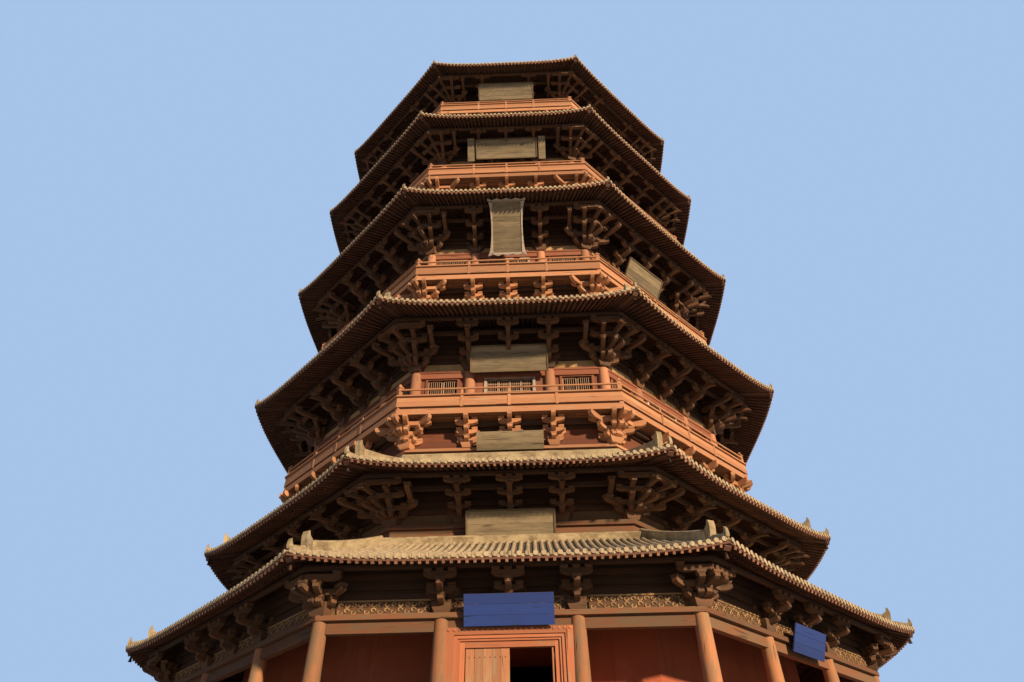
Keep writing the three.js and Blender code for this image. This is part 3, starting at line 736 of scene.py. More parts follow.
# The frieze of the veranda: dark boards that stand on the plate between the bracket sets, each with a row of
# scrolls carved in pale wood and pinned on, turned alternately up and down.
frieze_wood = weathered_timber("pale_carved_frieze_wood", "#a0835c", "#b1956d", "#80684c", 0.35)
frieze_low, frieze_high = veranda_plate, veranda_plate + 0.5
scroll_radius, ribbon = 0.105, 0.02


def scroll(x, z, out, flip):
    """A carved spiral ribbon with a tail that runs on to the next one."""
    outer, inner = [], []
    for i in range(9):
        t = i / 8
        a, r = 4.6 * t * flip, scroll_radius * (1 - 0.78 * t)
        outer.append((x + (r + ribbon) * math.cos(a), z + (r + ribbon) * math.sin(a)))
        inner.append((x + (r - ribbon) * math.cos(a), z + (r - ribbon) * math.sin(a)))
    return prism(outer + list(reversed(inner)), (0, -out, 0), east, sky, 0.03)


frieze_face = veranda_ring + 0.1
corner_at = veranda_ring * flare
back_boards, carved = [], []
for a, b in ((-corner_at + 0.5, -inner_column - 0.4), (-inner_column + 0.4, -0.36)):
    for start, end in ((a, b), (-b, -a)):
        back_boards.append(level_board(start, end, frieze_face, frieze_face - 0.06, frieze_low, frieze_high))
        for z0, z1 in ((frieze_low, frieze_low + 0.05), (frieze_high - 0.05, frieze_high)):
            carved.append(level_board(start, end, frieze_face + 0.03, frieze_face, z0, z1))
        count = round((end - start) / (2.1 * scroll_radius))
        for i in range(2 * count):
            row, place = divmod(i, count)
            x = start + (end - start) * (place + 0.5) / count
            z = frieze_low + (0.145, 0.345)[row] + (0.015 if place % 2 else -0.015)
            carved.append(scroll(x, z, frieze_face + 0.015, 1 if (place + row) % 2 else -1))
assemble("veranda_frieze_boards", all_round(back_boards), shade_dark_bracket_pine, "aged_timber")
assemble("veranda_frieze_carving", all_round(carved), frieze_wood, "aged_timber")


# The ring of beams on the thick wall: a lintel and a plate round the first storey, with a thinner board
# between them, of bare pine like the veranda's, notched over each other at the corners.
first_low, first_high = real_box("storey1_beam_ring")
first_beams = [
    beam_ring(first_ring, 0.5, first_low.z, first_low.z + 0.3),
    beam_ring(first_ring, 0.3, first_low.z + 0.3, first_high.z - 0.2),
    beam_ring(first_ring, 2 * half_plate, first_high.z - 0.2, first_high.z - 0.002),
]
assemble("storey1_beams", all_round(first_beams), bare_pine, "aged_timber", ["storey1_beam_ring"])


# The half storeys hidden behind the eaves: level planks round short posts, and on them the bracket sets that
# carry each balcony. The sets are redder than the eave brackets, which are darkened as painted shade, and the
# low sun reaches them. The planks are darkened as painted shade under the deck.
sunlit_timber = weathered_timber("faded_red_balcony_timber", "#ad7b58", "#be936e", "#ac8b6d", 0.3)
# The planks' red is darkened: painted shade under the deck.
half_storey_planks_painted_shade = weathered_timber("red_earth_planks", "#683a27", "#774b35", "#5a4130", 0.25)
plank_high = 0.26
balcony_set_rise, balcony_head = 1.25, 0.26
for n in balcony_numbers:
    low, high = real_box(f"storey{n}_balcony_brackets")
    wall, deck_low = half_storey_out[n], high.z
    set_foot = deck_low - balcony_set_rise
    reach_out = -real_box(f"storey{n}_floor")[0].y - 0.12 - wall
    beside = inner_columns(ring_of[n])
    planks = []
    z = low.z
    while z < deck_low - 0.02:
        top = min(z + plank_high, deck_low)
        planks.append(beam_ring(wall - 0.06, 0.1, z + 0.006, top))
        z += plank_high
    assemble(f"storey{n}_half_storey_planks_painted_shade", all_round(planks), half_storey_planks_painted_shade, "red_timber")
    rise_reach_tiers = (balcony_set_rise, reach_out, 3)
    plain = bracket_set(*rise_reach_tiers, straight, cap=0.85, heads=balcony_head + 0.04)
    corner = bracket_set(*rise_reach_tiers, balcony_fan, crosses=False, heads=balcony_head + 0.06)
    side = []
    for x in (-beside, 0.0, beside):
        side += placed(plain, x, -wall, set_foot)
    side += placed(placed(corner, 0, -wall / math.cos(half_turn), set_foot), angle=half_turn)
    seat, pitch = tier_levels(balcony_set_rise, 3, balcony_head)
    for tier, length in enumerate((0.7, 0.85, 1.4)):
        low = set_foot + seat + tier * pitch
        side += corner_arms_along(wall + reach_out * tier / 3, low, low + arm_share * pitch, length, pitch)
    side.append(beam_ring(wall, 0.3, set_foot - 0.14, set_foot))
    under_deck = [
        beam_ring(wall + reach_out / 3, 0.16, deck_low - 0.24, deck_low - 0.004),
        beam_ring(wall + 0.03, 0.18, set_foot + seat + 2 * pitch, set_foot + seat + 2.7 * pitch),
    ]
    assemble(f"storey{n}_deck_beams", all_round(under_deck), shade_black_pine, "red_timber")
    brackets = f"storey{n}_balcony_brackets"
    assemble(f"storey{n}_balcony_sets", all_round(side), sunlit_timber, "red_timber", [brackets])


# The balcony floors: pine decking on the brackets, its boards laid outward and pegged down. They are grey
# with dust, with dark open seams.
def decking(name, light, dark, board):
    material, put = blank_material(name)
    at = real_metres(put)
    laid = {"Vector": at, "Scale": 1.0, "Brick Width": 3.0, "Row Height": board}
    seam = {"Mortar": "#2c1f17", "Mortar Size": 0.012}
    boards = put("TexBrick", {"Color1": light, "Color2": dark, **laid, **seam}, offset=0.37)
    streak_at = put("VectorMath", {0: at, 1: (1.2, 22, 22)}, operation="MULTIPLY")
    streaks = put("TexNoise", {"Vector": streak_at, "Scale": 1.0, "Detail": 6.0})
    streak_tone = put("ValToRGB", {0: streaks}, [(0.3, 0.6), (0.7, 1.05)])
    worn = put("Mix", {0: 1.0, 6: boards, 7: streak_tone}, **multiply)
    skin(put, {"Base Color": worn, "Roughness": 0.85}, streaks, 0.4, 0.01)
    return material


balcony_decking = decking("dusty_pine_decking", "#8e6448", "#7a5139", 0.24)
for n in balcony_numbers:
    refinish(f"storey{n}_floor", balcony_decking)


# The balcony rails: square posts with a knob at the corners, a round top rail, a thin middle rail, and panels
# of board between two rails at the foot. Deck-edge boards hide the joist ends. All are pegged and painted
# red, and the paint has faded.
knob = [(0.05, 0.0), (0.075, 0.03), (0.09, 0.09), (0.075, 0.15), (0.03, 0.19), (0.01, 0.2)]
rail_boards = [  # middle from the deck's edge, width, foot and top from the deck
    (0.014, 0.024, -0.3, -0.002),
    (-0.12, 0.1, 0.004, 0.3),
    (0.03, 0.05, 0.11, 0.36),
    (0.02, 0.05, 0.372, 0.6),
    (-0.01, 0.26, 0.66, 0.73),
]
post_blocks = [  # half width, front and back from the deck's edge, foot and top from the deck
    (0.07, 0.075, -0.185, 0.05, 0.66),
    (0.06, 0.02, -0.1, 0.73, 1.0),
    (0.04, 0.0, -0.08, 0.98, 1.06),
]
for n in balcony_numbers:
    floor_low, floor_high = real_box(f"storey{n}_floor")
    level, deck_out = floor_high.z, -floor_low.y
    rail = deck_out - 0.1
    side = [beam_ring(deck_out + out, wide, level + z0, level + z1) for out, wide, z0, z1 in rail_boards]
    side.append(purlin_line(deck_out - 0.02, level + 1.15, 0.05))
    for x in (-inner_columns(rail), 0.0, inner_columns(rail)):
        for half, y0, y1, z0, z1 in post_blocks:
            faces_at, heights = (deck_out + y0, deck_out + y1), (level + z0, level + z1)
            side.append(upright_board(x - half, x + half, *faces_at, *heights))
    corner_post = [
        upright_board(-0.1, 0.1, 0.1, -0.1, level - 0.3, level + 1.28),
        upright_board(-0.13, 0.13, 0.13, -0.13, level + 1.24, level + 1.3),
        *placed([lathe(knob, 10)], z=level + 1.29),
    ]
    side += placed(corner_post, rail * flare, -rail)
    assemble(f"storey{n}_rail", all_round(side), sunlit_timber, "red_timber", [f"storey{n}_railing"])


# The upper walls: round columns under a lintel and plate, and between them plank screens. Each side has a
# pair of barred windows beside a lattice door of four leaves, whose frame keeps a pale blue-grey undercoat.
screen_timber = weathered_timber("faded_red_screen_boards", "#84503a", "#95654c", "#82634c", 0.25)
column_paint = weathered_timber("bleached_red_columns", "#b07c5e", "#bd9070", "#a5866a", 0.28)
bar_paint = weathered_timber("dusty_window_bars", "#a58a74", "#b59c86", "#93806c", 0.35)
pale_trim = weathered_timber("pale_undercoated_trim", "#b9aea2", "#c9bfb2", "#9a7f68", 0.3)
sill, head, window_half, door_half = 1.55, 2.5, 0.72, 1.12


def barred_leaf(x0, x1, face, z0, z1, bars, levels):
    """A light frame with upright bars and thin cross pieces."""
    stile = 0.05
    members = [
        upright_board(x0, x0 + stile, face, face - 0.05, z0, z1),
        upright_board(x1 - stile, x1, face, face - 0.05, z0, z1),
        level_board(x0, x1, face, face - 0.05, z0, z0 + stile),
        level_board(x0, x1, face, face - 0.05, z1 - stile, z1),
    ]
    clear = (x1 - x0 - 2 * stile) / (bars + 1)
    for i in range(bars):
        x = x0 + stile + clear * (i + 1)
        members.append(upright_board(x - 0.013, x + 0.013, face - 0.01, face - 0.036, z0 + stile, z1 - stile))
    for i in range(levels):
        z = z0 + stile + (z1 - z0 - 2 * stile) * (i + 1) / (levels + 1)
        members.append(level_board(x0 + stile, x1 - stile, face - 0.012, face - 0.035, z - 0.018, z + 0.018))
    return members


def casing(x0, x1, face, z0, z1, wide):
    """Four boards round an opening."""
    return [
        upright_board(x0 - wide, x0, face, face - 0.1, z0 - wide, z1 + wide),
        upright_board(x1, x1 + wide, face, face - 0.1, z0 - wide, z1 + wide),
        level_board(x0, x1, face, face - 0.1, z1, z1 + wide),
        level_board(x0, x1, face, face - 0.1, z0 - wide, z0),
    ]


for n in balcony_numbers:
    low, high = real_box(f"storey{n}_wall")
    ring, level, plate = ring_of[n], low.z, high.z - plate_drop[n]
    beside, corner_x = inner_columns(ring), ring * flare
    plate_low, wall_top = plate - 0.12, plate - 0.42
    window_low, window_high = level + sill, level + head
    column = [(0.28, 0.0), (0.285, 0.4 * (plate - level)), (0.26, plate_low - level)]
    column_side = []
    for x in (-beside, beside, corner_x):
        column_side += placed([lathe(column)], x, -ring, level)
    assemble(f"storey{n}_columns", all_round(column_side), column_paint, "red_timber", [f"storey{n}_wall"])
    beam_side = [
        beam_ring(ring, 0.26, wall_top, plate_low),
        beam_ring(ring - 0.04, 0.42, plate_low, plate - 0.002),
        beam_ring(ring, 0.3, level, level + 0.16),
    ]
    assemble(f"storey{n}_beams", all_round(beam_side), screen_timber, "red_timber")

    windows = [sign * (beside + corner_x) / 2 for sign in (-1, 1)]
    openings = sorted([(x - window_half, x + window_half) for x in windows] + [(-door_half, door_half)])
    edges = [-corner_x] + [x for opening in openings for x in opening] + [corner_x]
    face, foot = ring - 0.02, level + 0.16
    middle = (foot + window_low) / 2
    planks = []
    for a, b in zip(edges[::2], edges[1::2]):
        count = max(1, round((b - a) / 0.55))
        for i in range(count):
            x0, x1 = a + (b - a) * i / count, a + (b - a) * (i + 1) / count
            planks.append(upright_board(x0 + 0.003, x1 - 0.003, face, face - 0.1, foot, wall_top))
    for a, b in openings:
        for z0, z1 in ((foot, middle - 0.004), (middle + 0.004, window_low), (window_high, wall_top)):
            planks.append(level_board(a, b, face, face - 0.1, z0, z1))
    for x in windows:
        planks += casing(x - window_half, x + window_half, ring + 0.06, window_low, window_high, 0.12)
    for x in (-0.55, 0.55):
        peg_low, peg_high = window_high + 0.03, window_high + 0.14
        planks.append(level_board(x - 0.14, x + 0.14, ring + 0.16, ring, peg_low, peg_high))
    assemble(f"storey{n}_screens", all_round(planks), screen_timber, "red_timber")

    bars = []
    for x in windows:
        for a, b in ((x - window_half, x - 0.03), (x + 0.03, x + window_half)):
            bars += barred_leaf(a, b, ring - 0.05, window_low, window_high, 5, 1)
    leaf = door_half / 2
    for i in range(4):
        a = i * leaf - door_half
        bars += barred_leaf(a + 0.01, a + leaf - 0.01, ring - 0.05, window_low, window_high, 4, 3)
    assemble(f"storey{n}_window_bars", all_round(bars), bar_paint, "red_timber")
    trims = casing(-door_half, door_half, ring + 0.06, level + 0.3, window_high, 0.14)
    assemble(f"storey{n}_door_trim", all_round(trims), pale_trim, "red_timber")


# Rafters: round ones lie on the purlins and square flying ones on their ends, close together and fanned out
# towards the corners, where a heavy hip beam carries them. An eave board closes the gap over the flying
# ones, whose ends are capped paler: a painted highlight of the low sun, which also lights them.
# The rafter pine is painted dark: painted shade under the eaves.
shade_dark_rafter_pine = weathered_timber("red_washed_rafter_pine", "#624134", "#735143", "#5d483b", 0.35, "#7d6652")
# The rafter end caps are paler than the rafters: a painted highlight of the low sun on the ends.
rafter_end_highlight = weathered_timber("worn_painted_rafter_ends", "#9a6f56", "#b08870", "#7c5a46", 0.4)
rafter_gap, round_radius, flying = 0.25, 0.06, 0.095
flying_low = 0.035  # from the underside of the eave to that of a flying rafter's end


def edge_lift(form, r, share):
    outward = max(0.0, (r - form["inner"]) / (form["eave"] - form["inner"]))
    return form["rise"] * outward**1.5 * share**4


def cover_height(form, r, share):
    """Top of the roof at a distance from the axis; `share` is how far towards the corner."""
    t = (form["eave"] - r) / (form["eave"] - form["inner"])
    climb = (1 - form["bow"]) * t + form["bow"] * t * t
    return form["edge"] + (form["crown"] - form["edge"]) * climb + edge_lift(form, r, share)


def underside(form, r, share):
    return form["low"] + form["under"] * (form["eave"] - r) + edge_lift(form, r, share)


def bar(start, end, width, height):
    """A squared timber between two points, with its height as near upright as it goes."""
    start, end = np.array(start, float), np.array(end, float)
    length = np.linalg.norm(end - start)
    along = (end - start) / length
    up = sky - along * along[2]
    up /= np.linalg.norm(up)
    return prism(oblong(0, length, -height / 2, height / 2), start, along, up, width)


def round_bar(start, end, radius, sides=6):
    start, end = np.array(start, float), np.array(end, float)
    length = np.linalg.norm(end - start)
    points, faces, grain = lathe([(radius, 0.0), (radius, length)], sides)
    along = (end - start) / length
    aside = np.cross(along, sky)
    aside /= np.linalg.norm(aside)
    axes = np.array([aside, np.cross(aside, along), along])
    return start + points @ axes, [tuple(reversed(face)) for face in faces], grain


def on_rafter(form, edge_x, share, r, raised):
    """A point `r` out on the rafter that ends at `edge_x`, `raised` over the roof's underside."""
    x = edge_x * (1 - (1 - r / form["eave"]) * share)
    return x, -r, underside(form, r, share) + raised


wall_rings = {"veranda": veranda_ring, "storey1": first_ring}
wall_rings.update({f"storey{n}": ring_of[n] for n in balcony_numbers})
for name, form in roofs.items():
    wall_out, eave = wall_rings[name], form["eave"]
    rear, tip = wall_out - 0.3, eave - 0.6
    half = (eave - 0.1) * flare
    count = 2 * int(half / rafter_gap)
    side, ends = [], []
    for i in range(count + 1):
        edge_x = -half + 2 * half * i / count
        share = abs(edge_x / half)
        if share >= 0.985:
            continue
        at = partial(on_rafter, form, edge_x, share)
        side.append(round_bar(at(rear, round_radius), at(tip, round_radius), round_radius))
        rear_point = np.array(at(tip - 0.8, 0.12 + flying / 2))
        end_point = np.array(at(eave - 0.03, 0))
        end_point[2] = at(eave, flying_low + flying / 2)[2]
        ahead = (end_point - rear_point) / np.linalg.norm(end_point - rear_point)
        side.append(bar(rear_point, end_point, flying, flying))
        ends.append(bar(end_point, end_point + 0.012 * ahead, flying * 0.94, flying * 0.94))
    board = oblong(eave - 0.1, eave - 0.02, form["low"] + flying_low + flying, form["low"] + 0.25)
    side.append(side_member(board, 12, partial(edge_lift, form)))
    hip_out, hip_in = (eave - 0.12) / math.cos(half_turn), wall_out / math.cos(half_turn)
    hip_low, hip_high = (underside(form, r, 1.0) - 0.1 for r in (eave - 0.12, wall_out))
    outline = [(hip_in, hip_high), (hip_out - 0.35, hip_low + form["under"] * 0.3)]
    outline += [(hip_out - 0.12, hip_low + 0.02), (hip_out, hip_low + 0.12), (hip_out, hip_low + 0.3)]
    hip = prism(outline + [(hip_in, hip_high + 0.3)], (0, 0, 0), south, sky, 0.26)
    side += placed([hip], angle=half_turn)
    assemble(f"{name}_rafters", all_round(side), shade_dark_rafter_pine, "aged_timber")
    assemble(f"{name}_rafter_ends", all_round(ends), rafter_end_highlight, "aged_timber")


# The tiled roofs: boards over the rafters carry a clay bed with rows of grey pan tiles, half-round cover
# tiles over their joints, a round end tile on each row and a hanging drip tile between. Fired grey clay,
# pale with lichen and dust on the covers, and darker in the pans.
def fired_clay(name, pale, grey, moss, joint):
    material, put = blank_material(name)
    grain = put("Attribute", attribute_name="grain").outputs["Vector"]
    tone = put("Attribute", attribute_name="tone").outputs["Fac"]
    along = put("Math", {0: put("SeparateXYZ", {0: grain}).outputs[0], 1: joint}, operation="DIVIDE")
    number = put("Math", {0: along}, operation="FLOOR")
    within = put("Math", {0: along}, operation="FRACT")
    lip = put("ValToRGB", {0: within}, [(0.0, 0.0), (0.09, 0.9), (1.0, 1.0)])
    each = put("TexWhiteNoise", {"Vector": put("CombineXYZ", {0: number, 1: tone})})
    body = put("ValToRGB", {0: each}, [(0.0, grey), (0.45, pale), (0.8, pale), (1.0, grey)])
    lichen = put("TexNoise", {"Vector": grain, "Scale": 1.7, "Detail": 9.0, "Roughness": 0.7})
    lichen_mask = put("ValToRGB", {0: lichen}, [(0.48, 0.0), (0.66, 0.75)])
    grown = put("Mix", {0: lichen_mask, 6: body, 7: moss}, data_type="RGBA")
    lip_shade = put("MapRange", {0: lip, 3: 0.4, 4: 1.0})
    jointed = put("Mix", {0: 1.0, 6: grown, 7: lip_shade}, **multiply)
    pores = put("TexNoise", {"Vector": grain, "Scale": 18.0, "Detail": 5.0, "Roughness": 0.7})
    relief = put("Math", {0: pores, 1: 0.3, 2: lip}, operation="MULTIPLY_ADD")
    skin(put, {"Base Color": jointed, "Roughness": 0.9, "IOR": 1.5}, relief, 0.6, 0.012)
    return material


cover_clay = fired_clay("lichened_grey_cover_tiles", "#b3a183", "#8f8470", "#c4b595", 0.34)
pan_clay = fired_clay("grey_pan_tiles", "#645c4c", "#4d473c", "#736a57", 0.17)
cover_radius, row_gap = 0.078, 0.265
half_round = [math.pi * i / 5 for i in range(6)]


def cover_row(form, x, first, last, stations):
    """A row of half-round tiles up the slope, from the edge to the hip or the wall."""
    points, grain, run, before = [], [], 0.0, None
    for j in range(stations):
        r = first + (last - first) * j / (stations - 1)
        z = cover_height(form, r, min(1.0, abs(x) / (r * flare))) - 0.05
        if before:
            run += math.hypot(before[0] - r, before[1] - z)
        before = (r, z)
        for a in half_round:
            over, rise = cover_radius * math.cos(a), cover_radius * math.sin(a)
            points.append((x + over, -r - 0.3 * rise, z + rise))
            grain.append((run, cover_radius * a, 0.0))
    n = len(half_round)
    starts = [j * n + i for j in range(stations - 1) for i in range(n - 1)]
    faces = [(a, a + n, a + n + 1, a + 1) for a in starts]
    return np.array(points), faces, np.array(grain)


def edge_height(form, x):
    return cover_height(form, form["eave"], min(1.0, abs(x) / (form["eave"] * flare)))


def round_end(form, x):
    """The disc that closes a row at the eave."""
    outline = [(0.086 * math.cos(a), 0.086 * math.sin(a)) for a in np.arange(8) * turn + half_turn]
    return prism(outline, (x, -form["eave"] - 0.02, edge_height(form, x) - 0.03), east, sky, 0.035)


def drip_tile(form, x, gap):
    """The hanging lip of a pan row, cut to a point between two scallops."""
    w = gap * 0.46
    left = [(-w, 0.02), (-w, -0.01), (-0.45 * w, -0.05)]
    outline = left + [(0, -0.085)] + [(-x, z) for x, z in reversed(left)]
    return prism(outline, (x, -form["eave"] + 0.005, edge_height(form, x) - 0.06), east, (0, -0.2, 1), 0.03)


for name, form in roofs.items():
    top, eave, inner = name == "storey5", form["eave"], form["inner"]
    half = eave * flare - 0.16
    count = round(2 * half / row_gap)
    gap = 2 * half / count
    rows, edge_tiles = [], []
    for i in range(count + 1):
        x = -half + gap * i
        last = max(inner + (0.1 if top else 0.3), abs(x) / flare + 0.12)
        if eave - last > 0.25:
            rows.append(cover_row(form, x, eave, last, 12 if top else 6))
        edge_tiles.append(round_end(form, x))
        if i < count:
            edge_tiles.append(drip_tile(form, x + gap / 2, gap))
    assemble(f"{name}_cover_tiles", all_round(rows + edge_tiles), cover_clay, "clay_tile")

    steps = 16 if top else 8
    upper, lower = [], []
    for j in range(steps + 1):
        r = eave + (inner - eave) * j / steps
        cover = cover_height(form, r, 0)
        upper.append((r, cover - 0.06))
        flat_low = underside(form, max(r, inner), 0) + (0.235 if r > eave - 1.45 else 0.135)
        lower.append((r, min(flat_low, cover - 0.1)))
    points, faces, grain = side_member(upper + lower[::-1], 12, partial(edge_lift, form))
    bed = (points, faces, grain[:, [1, 0, 2]])
    roof_node = "veranda_roof" if name == "veranda" else f"{name}_roof"
    assemble(f"{name}_tile_bed", all_round([bed]), pan_clay, "clay_tile", [roof_node])


# The ridges: grey bricks laid flat in courses along the wall over each roof and down each hip, under a row
# of round tiles. A stepped, upturned end stone closes each hip ridge short of the corner.
def ridge_brick(name, light, dark):
    """Grey fired brick, three flat courses high, with lime in the joints."""
    material, put = blank_material(name)
    grain = put("Attribute", attribute_name="grain").outputs["Vector"]
    split = put("SeparateXYZ", {0: grain})
    wall_at = put("CombineXYZ", {0: split.outputs[0], 1: split.outputs[2]})
    laid = {"Vector": wall_at, "Scale": 1.0, "Brick Width": 0.36, "Row Height": 0.085}
    lime = {"Mortar": "#a89e88", "Mortar Size": 0.01}
    courses = put("TexBrick", {"Color1": light, "Color2": dark, **laid, **lime})
    dirt = put("TexNoise", {"Vector": grain, "Scale": 1.4, "Detail": 8.0, "Roughness": 0.7})
    dirt_tone = put("ValToRGB", {0: dirt}, [(0.35, "#8a7f6c"), (0.6, "#ffffff")])
    soiled = put("Mix", {0: 0.8, 6: courses, 7: dirt_tone}, **multiply)
    skin(put, {"Base Color": soiled, "Roughness": 0.92}, dirt, 0.5, 0.015)
    return material


grey_brick = ridge_brick("lime_pale_ridge_brick", "#b3a481", "#a19271")


def hip_run(form, first, last, outline, steps=8):
    """A member laid down a hip; its outline is (across, height over the roof) pairs."""
    outline = anticlockwise(outline)
    sections, grain = [], []
    for j in range(steps + 1):
        r = first + (last - first) * j / steps
        out, z = r / math.cos(half_turn), cover_height(form, r, 1.0)
        sections.append([(-across, -out, z + up) for across, up in outline])
        grain.append([(out, across, up) for across, up in outline])
    return loft(sections, grain)


def round_cap(middle, level, half, high):
    """The outline of a half-round tile."""
    return [(middle + half * math.cos(a), level + high * math.sin(a)) for a in half_round]


def hip_stone(form, r, outline, wide):
    """A shaped end stone that stands on a hip, `r` out; its outline is (outward, up) pairs."""
    return prism(outline, (0, -r / math.cos(half_turn), cover_height(form, r, 1.0)), south, sky, wide)


ridge_heights = {"storey1": (0.46, 0.64), "veranda": (0.27, 0.17)}  # of the hip ridges, and over the crown
low_wall = oblong(-0.11, 0.11, -0.12, 0.08)
small_cap = round_cap(0, 0.07, 0.085, 0.085)
horn = [(-0.16, 0.02), (0.02, 0.02), (0.06, 0.12), (0.03, 0.3), (-0.03, 0.38), (-0.06, 0.26), (-0.13, 0.16)]
for name, form in roofs.items():
    eave, r = form["eave"], form["inner"]
    t, wall_high = ridge_heights.get(name, (0.3, 0.3))
    wall_line = []
    if name != "storey5":
        low = form["crown"] - 0.3 * (form["crown"] - form["edge"]) / (eave - r) - 0.12
        top = form["crown"] + wall_high - 0.12
        wall_line.append(side_member(oblong(r + 0.004, r + 0.32, low, top)))
        wall_line.append(side_member(round_cap(r + 0.16, top - 0.02, 0.15, 0.13)))
    end_stone = [(0, -0.1), (0.2, -0.1), (0.26, t * 0.5), (0.3, t + 0.12), (0.26, t + 0.3), (0.19, t + 0.34)]
    hips = [
        hip_run(form, r + 0.1, eave - 0.95, oblong(-0.13, 0.13, -0.12, t)),
        hip_run(form, eave - 0.98, eave - 0.12, low_wall, 4),
        hip_run(form, r + 0.1, eave - 0.9, round_cap(0, t - 0.01, 0.12, 0.1)),
        hip_run(form, eave - 0.95, eave - 0.03, small_cap, 4),
        hip_stone(form, eave - 0.92, end_stone + [(0.14, t + 0.18), (0, t + 0.1)], 0.24),
        hip_stone(form, eave - 0.06, horn, 0.12),
    ]
    ridges = all_round(wall_line + placed(hips, angle=half_turn))
    assemble(f"{name}_ridges", ridges, grey_brick, "grey_brick")


# Wind bells: small bells of cast iron, each on a rod that is hooked to the end of a hip beam, one at each
# corner of every eave. They are dark, with rust where the rain runs off the roof.
bell_profile = [(0.01, 0.14), (0.05, 0.04), (0.063, 0.0), (0.077, 0.0), (0.06, 0.06), (0.052, 0.14)]
bell_profile += [(0.035, 0.17), (0.014, 0.18)]
for name, form in roofs.items():
    out = (form["eave"] - 0.3) / math.cos(half_turn)
    z = underside(form, form["eave"] - 0.3, 1.0) - 0.1
    bell = placed([lathe(bell_profile, 12)], 0, -out, z - 0.3)
    rod = placed([lathe([(0.01, z - 0.17), (0.01, z + 0.1)], 6)], 0, -out)
    assemble(f"{name}_wind_bells", all_round(placed(bell + rod, angle=half_turn)), iron, "cast_iron")


# The plaques: boards of planks in a raised frame, hung from the beams so that they lean over the visitor.
# The old ones are bare pine gone grey and yellow, and the two on the veranda are painted blue. Their fields
# are bare.
plaque_timber = weathered_timber("greyed_plaque_boards", "#877b62", "#94886f", "#756a55", 0.5, "#a8997a")
plaque_rim = weathered_timber("darkened_plaque_rims", "#6c5f47", "#7b6d52", "#5e5140", 0.4, "#a8997a")
blue_paint = weathered_timber("fresh_blue_board_paint", "#213d86", "#2b4998", "#233668", 0.15)
plaques = [  # name, ring of columns behind, side, foot, clearance, width, height, lean, hanger over the foot
    ("entrance", veranda_ring, 0, 8.47, 0.04, 2.94, 0.99, 22, 0.25),
    ("veranda_southeast", veranda_ring, 1, 8.47, 0.04, 2.3, 0.99, 22, 0.25),
    ("storey1", first_ring, 0, 12.76, 0.2, 3.61, 1.14, 23, 0.35),
    ("balcony2", half_storey_out[2] - half_plate, 0, 17.19, 0.3, 3.02, 0.84, 28, 0.21),
    ("storey2", ring_of[2], 0, 21.58, 0.19, 3.83, 1.37, 22, 0.62),
    ("storey3", ring_of[3], 0, 30.06, 0.52, 2.1, 3.1, 35, 1.04),
    ("storey3_southeast", ring_of[3], 1, 30.45, 0.27, 3.2, 1.3, 28, 0.65),
    ("storey4", ring_of[4], 0, 39.72, 0.52, 4.08, 1.4, 32, 0.38),
    ("storey5", ring_of[5], 0, 47.77, 0.62, 4.1, 1.35, 33, 0.53),
]
blue_ones = ("entrance", "veranda_southeast")
rimless = blue_ones + ("balcony2",)
rim = 0.07
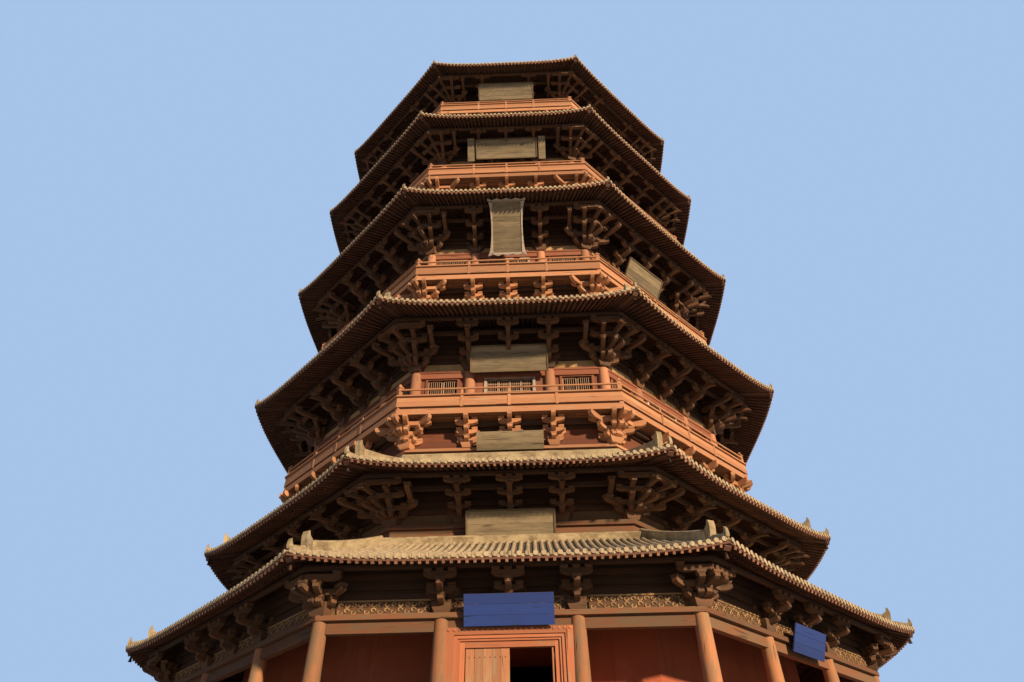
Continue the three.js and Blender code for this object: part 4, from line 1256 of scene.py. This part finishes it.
for name, ring, side_number, foot, clear, wide, tall, lean_degrees, hung in plaques:
    lean = math.radians(lean_degrees)
    back_out = ring + half_plate + clear

    def board(outline, ahead, thick):
        """A board in the plaque's own plane, its middle `ahead` of the back."""
        origin = (0, -back_out - math.cos(lean) * ahead, foot - math.sin(lean) * ahead)
        return prism(outline, origin, east, (0, -math.sin(lean), math.cos(lean)), thick)

    half, flared = wide / 2, name == "storey3"
    waist = 0.16 if flared else 0.0  # how far the tall board's sides draw in at half height
    side_x = half - waist
    edge_x, inner_x = side_x - (0.0 if name in rimless else 0.05), side_x - rim
    count = max(3, round(tall / 0.32))
    field, frame_members = [], []
    for i in range(count):
        a, b = tall * i / count + 0.004, tall * (i + 1) / count - 0.004
        field.append(board(oblong(-edge_x, edge_x, a, b), 0.035, 0.05))
    if name not in rimless:
        outer = [(half - waist * math.sin(math.pi * i / 8) ** 0.6, tall * i / 8) for i in range(9)]
        for sign in (-1, 1):
            outline = outer + [(inner_x, tall - rim), (inner_x, rim)]
            frame_members.append(board([(sign * x, z) for x, z in outline], 0.05, 0.1))
        for a, b in ((0, rim), (tall - rim, tall)):
            frame_members.append(board(oblong(-inner_x, inner_x, a, b), 0.052, 0.096))
    if flared:
        lobes = [(x * 0.13 * wide, 0.08 + 0.05 * math.cos(x * math.pi)) for x in range(-4, 5)]
        for edge_z, sign in ((tall, 1), (0, -1)):
            crest = [(x, edge_z + sign * z) for x, z in lobes]
            crest += [(0.52 * wide, edge_z), (-0.52 * wide, edge_z)]
            frame_members.append(board(crest, 0.08, 0.12))
    if name == "storey4":
        for sign in (-1, 1):
            a, b, near = sign * (half + 0.1), sign * (half + 0.55), sign * (half - 0.1)
            field.append(board(oblong(a, b, -0.1, tall + 0.1), 0.035, 0.06))
            field.append(board(oblong(near, b, tall - 0.3, tall - 0.2), -0.02, 0.04))
    for x in (-wide / 4, wide / 4):
        hanger_ends = [(x, y, foot + hung) for y in (-ring - 0.05, -back_out - hung * math.tan(lean))]
        field.append(bar(*hanger_ends, 0.07, 0.07))
    blue = name in blue_ones
    paint, slot = (blue_paint, "blue_board") if blue else (plaque_timber, "plaque_board")
    angle = side_number * turn
    assemble(f"plaque_{name}_boards", placed(field, angle=angle), paint, slot, [f"plaque_{name}"])
    if frame_members:
        rim_paint = pale_trim if flared else plaque_rim
        assemble(f"plaque_{name}_rim", placed(frame_members, angle=angle), rim_paint, slot)


# The finial: an eight-sided brick seat with a stepped foot, then a bowl, petals, five rings, a canopy, a
# crescent and pearls, cast in iron and threaded on one mast.
seat_low, seat_high = real_box("finial_base")
seat_top = seat_high.z - seat_low.z
seat_profile = [(1.55, 0.0), (1.55, 0.35), (1.2, 0.55), (1.2, 1.15), (1.65, 1.6), (1.65, seat_top)]
seat_profile += [(0.6, seat_top), (0.6, 0.0)]
seat_side = side_member([(r, z + seat_low.z) for r, z in seat_profile])
assemble("finial_seat", all_round([seat_side]), grey_brick, "grey_brick", ["finial_base"])

spire_low, spire_high = real_box("finial_spire")
spire = [(0.9, 0.0), (1.2, 0.06), (1.33, 0.25), (1.35, 0.5), (1.25, 0.85), (1.0, 1.1), (0.5, 1.25)]
spire += [(0.3, 1.32), (0.42, 1.4), (0.75, 1.6), (0.75, 1.75), (0.3, 1.85), (0.16, 1.95)]
for i in range(5):
    r, z = 1.05 - 0.11 * i, 2.14 + 0.65 * i
    spire += [(0.16, z - 0.14), (r - 0.06, z - 0.05), (r, z), (r - 0.06, z + 0.05), (0.16, z + 0.14)]
spire += [(0.15, 5.66), (0.9, 5.7), (0.95, 5.76), (0.6, 5.95), (0.2, 6.19), (0.16, 7.14)]
spire += [(0.5, 7.5), (0.55, 7.59), (0.5, 7.68), (0.16, 8.04), (0.3, 8.3), (0.34, 8.49), (0.28, 8.7)]
spire += [(0.12, 8.94), (0.22, 9.15), (0.26, 9.29), (0.2, 9.5), (0.05, 9.72)]
spire.append((0.01, spire_high.z - spire_low.z))
mast = placed([lathe(spire, 24)], z=spire_low.z)
assemble("finial_castings", mast, iron, "cast_iron", ["finial_spire"])
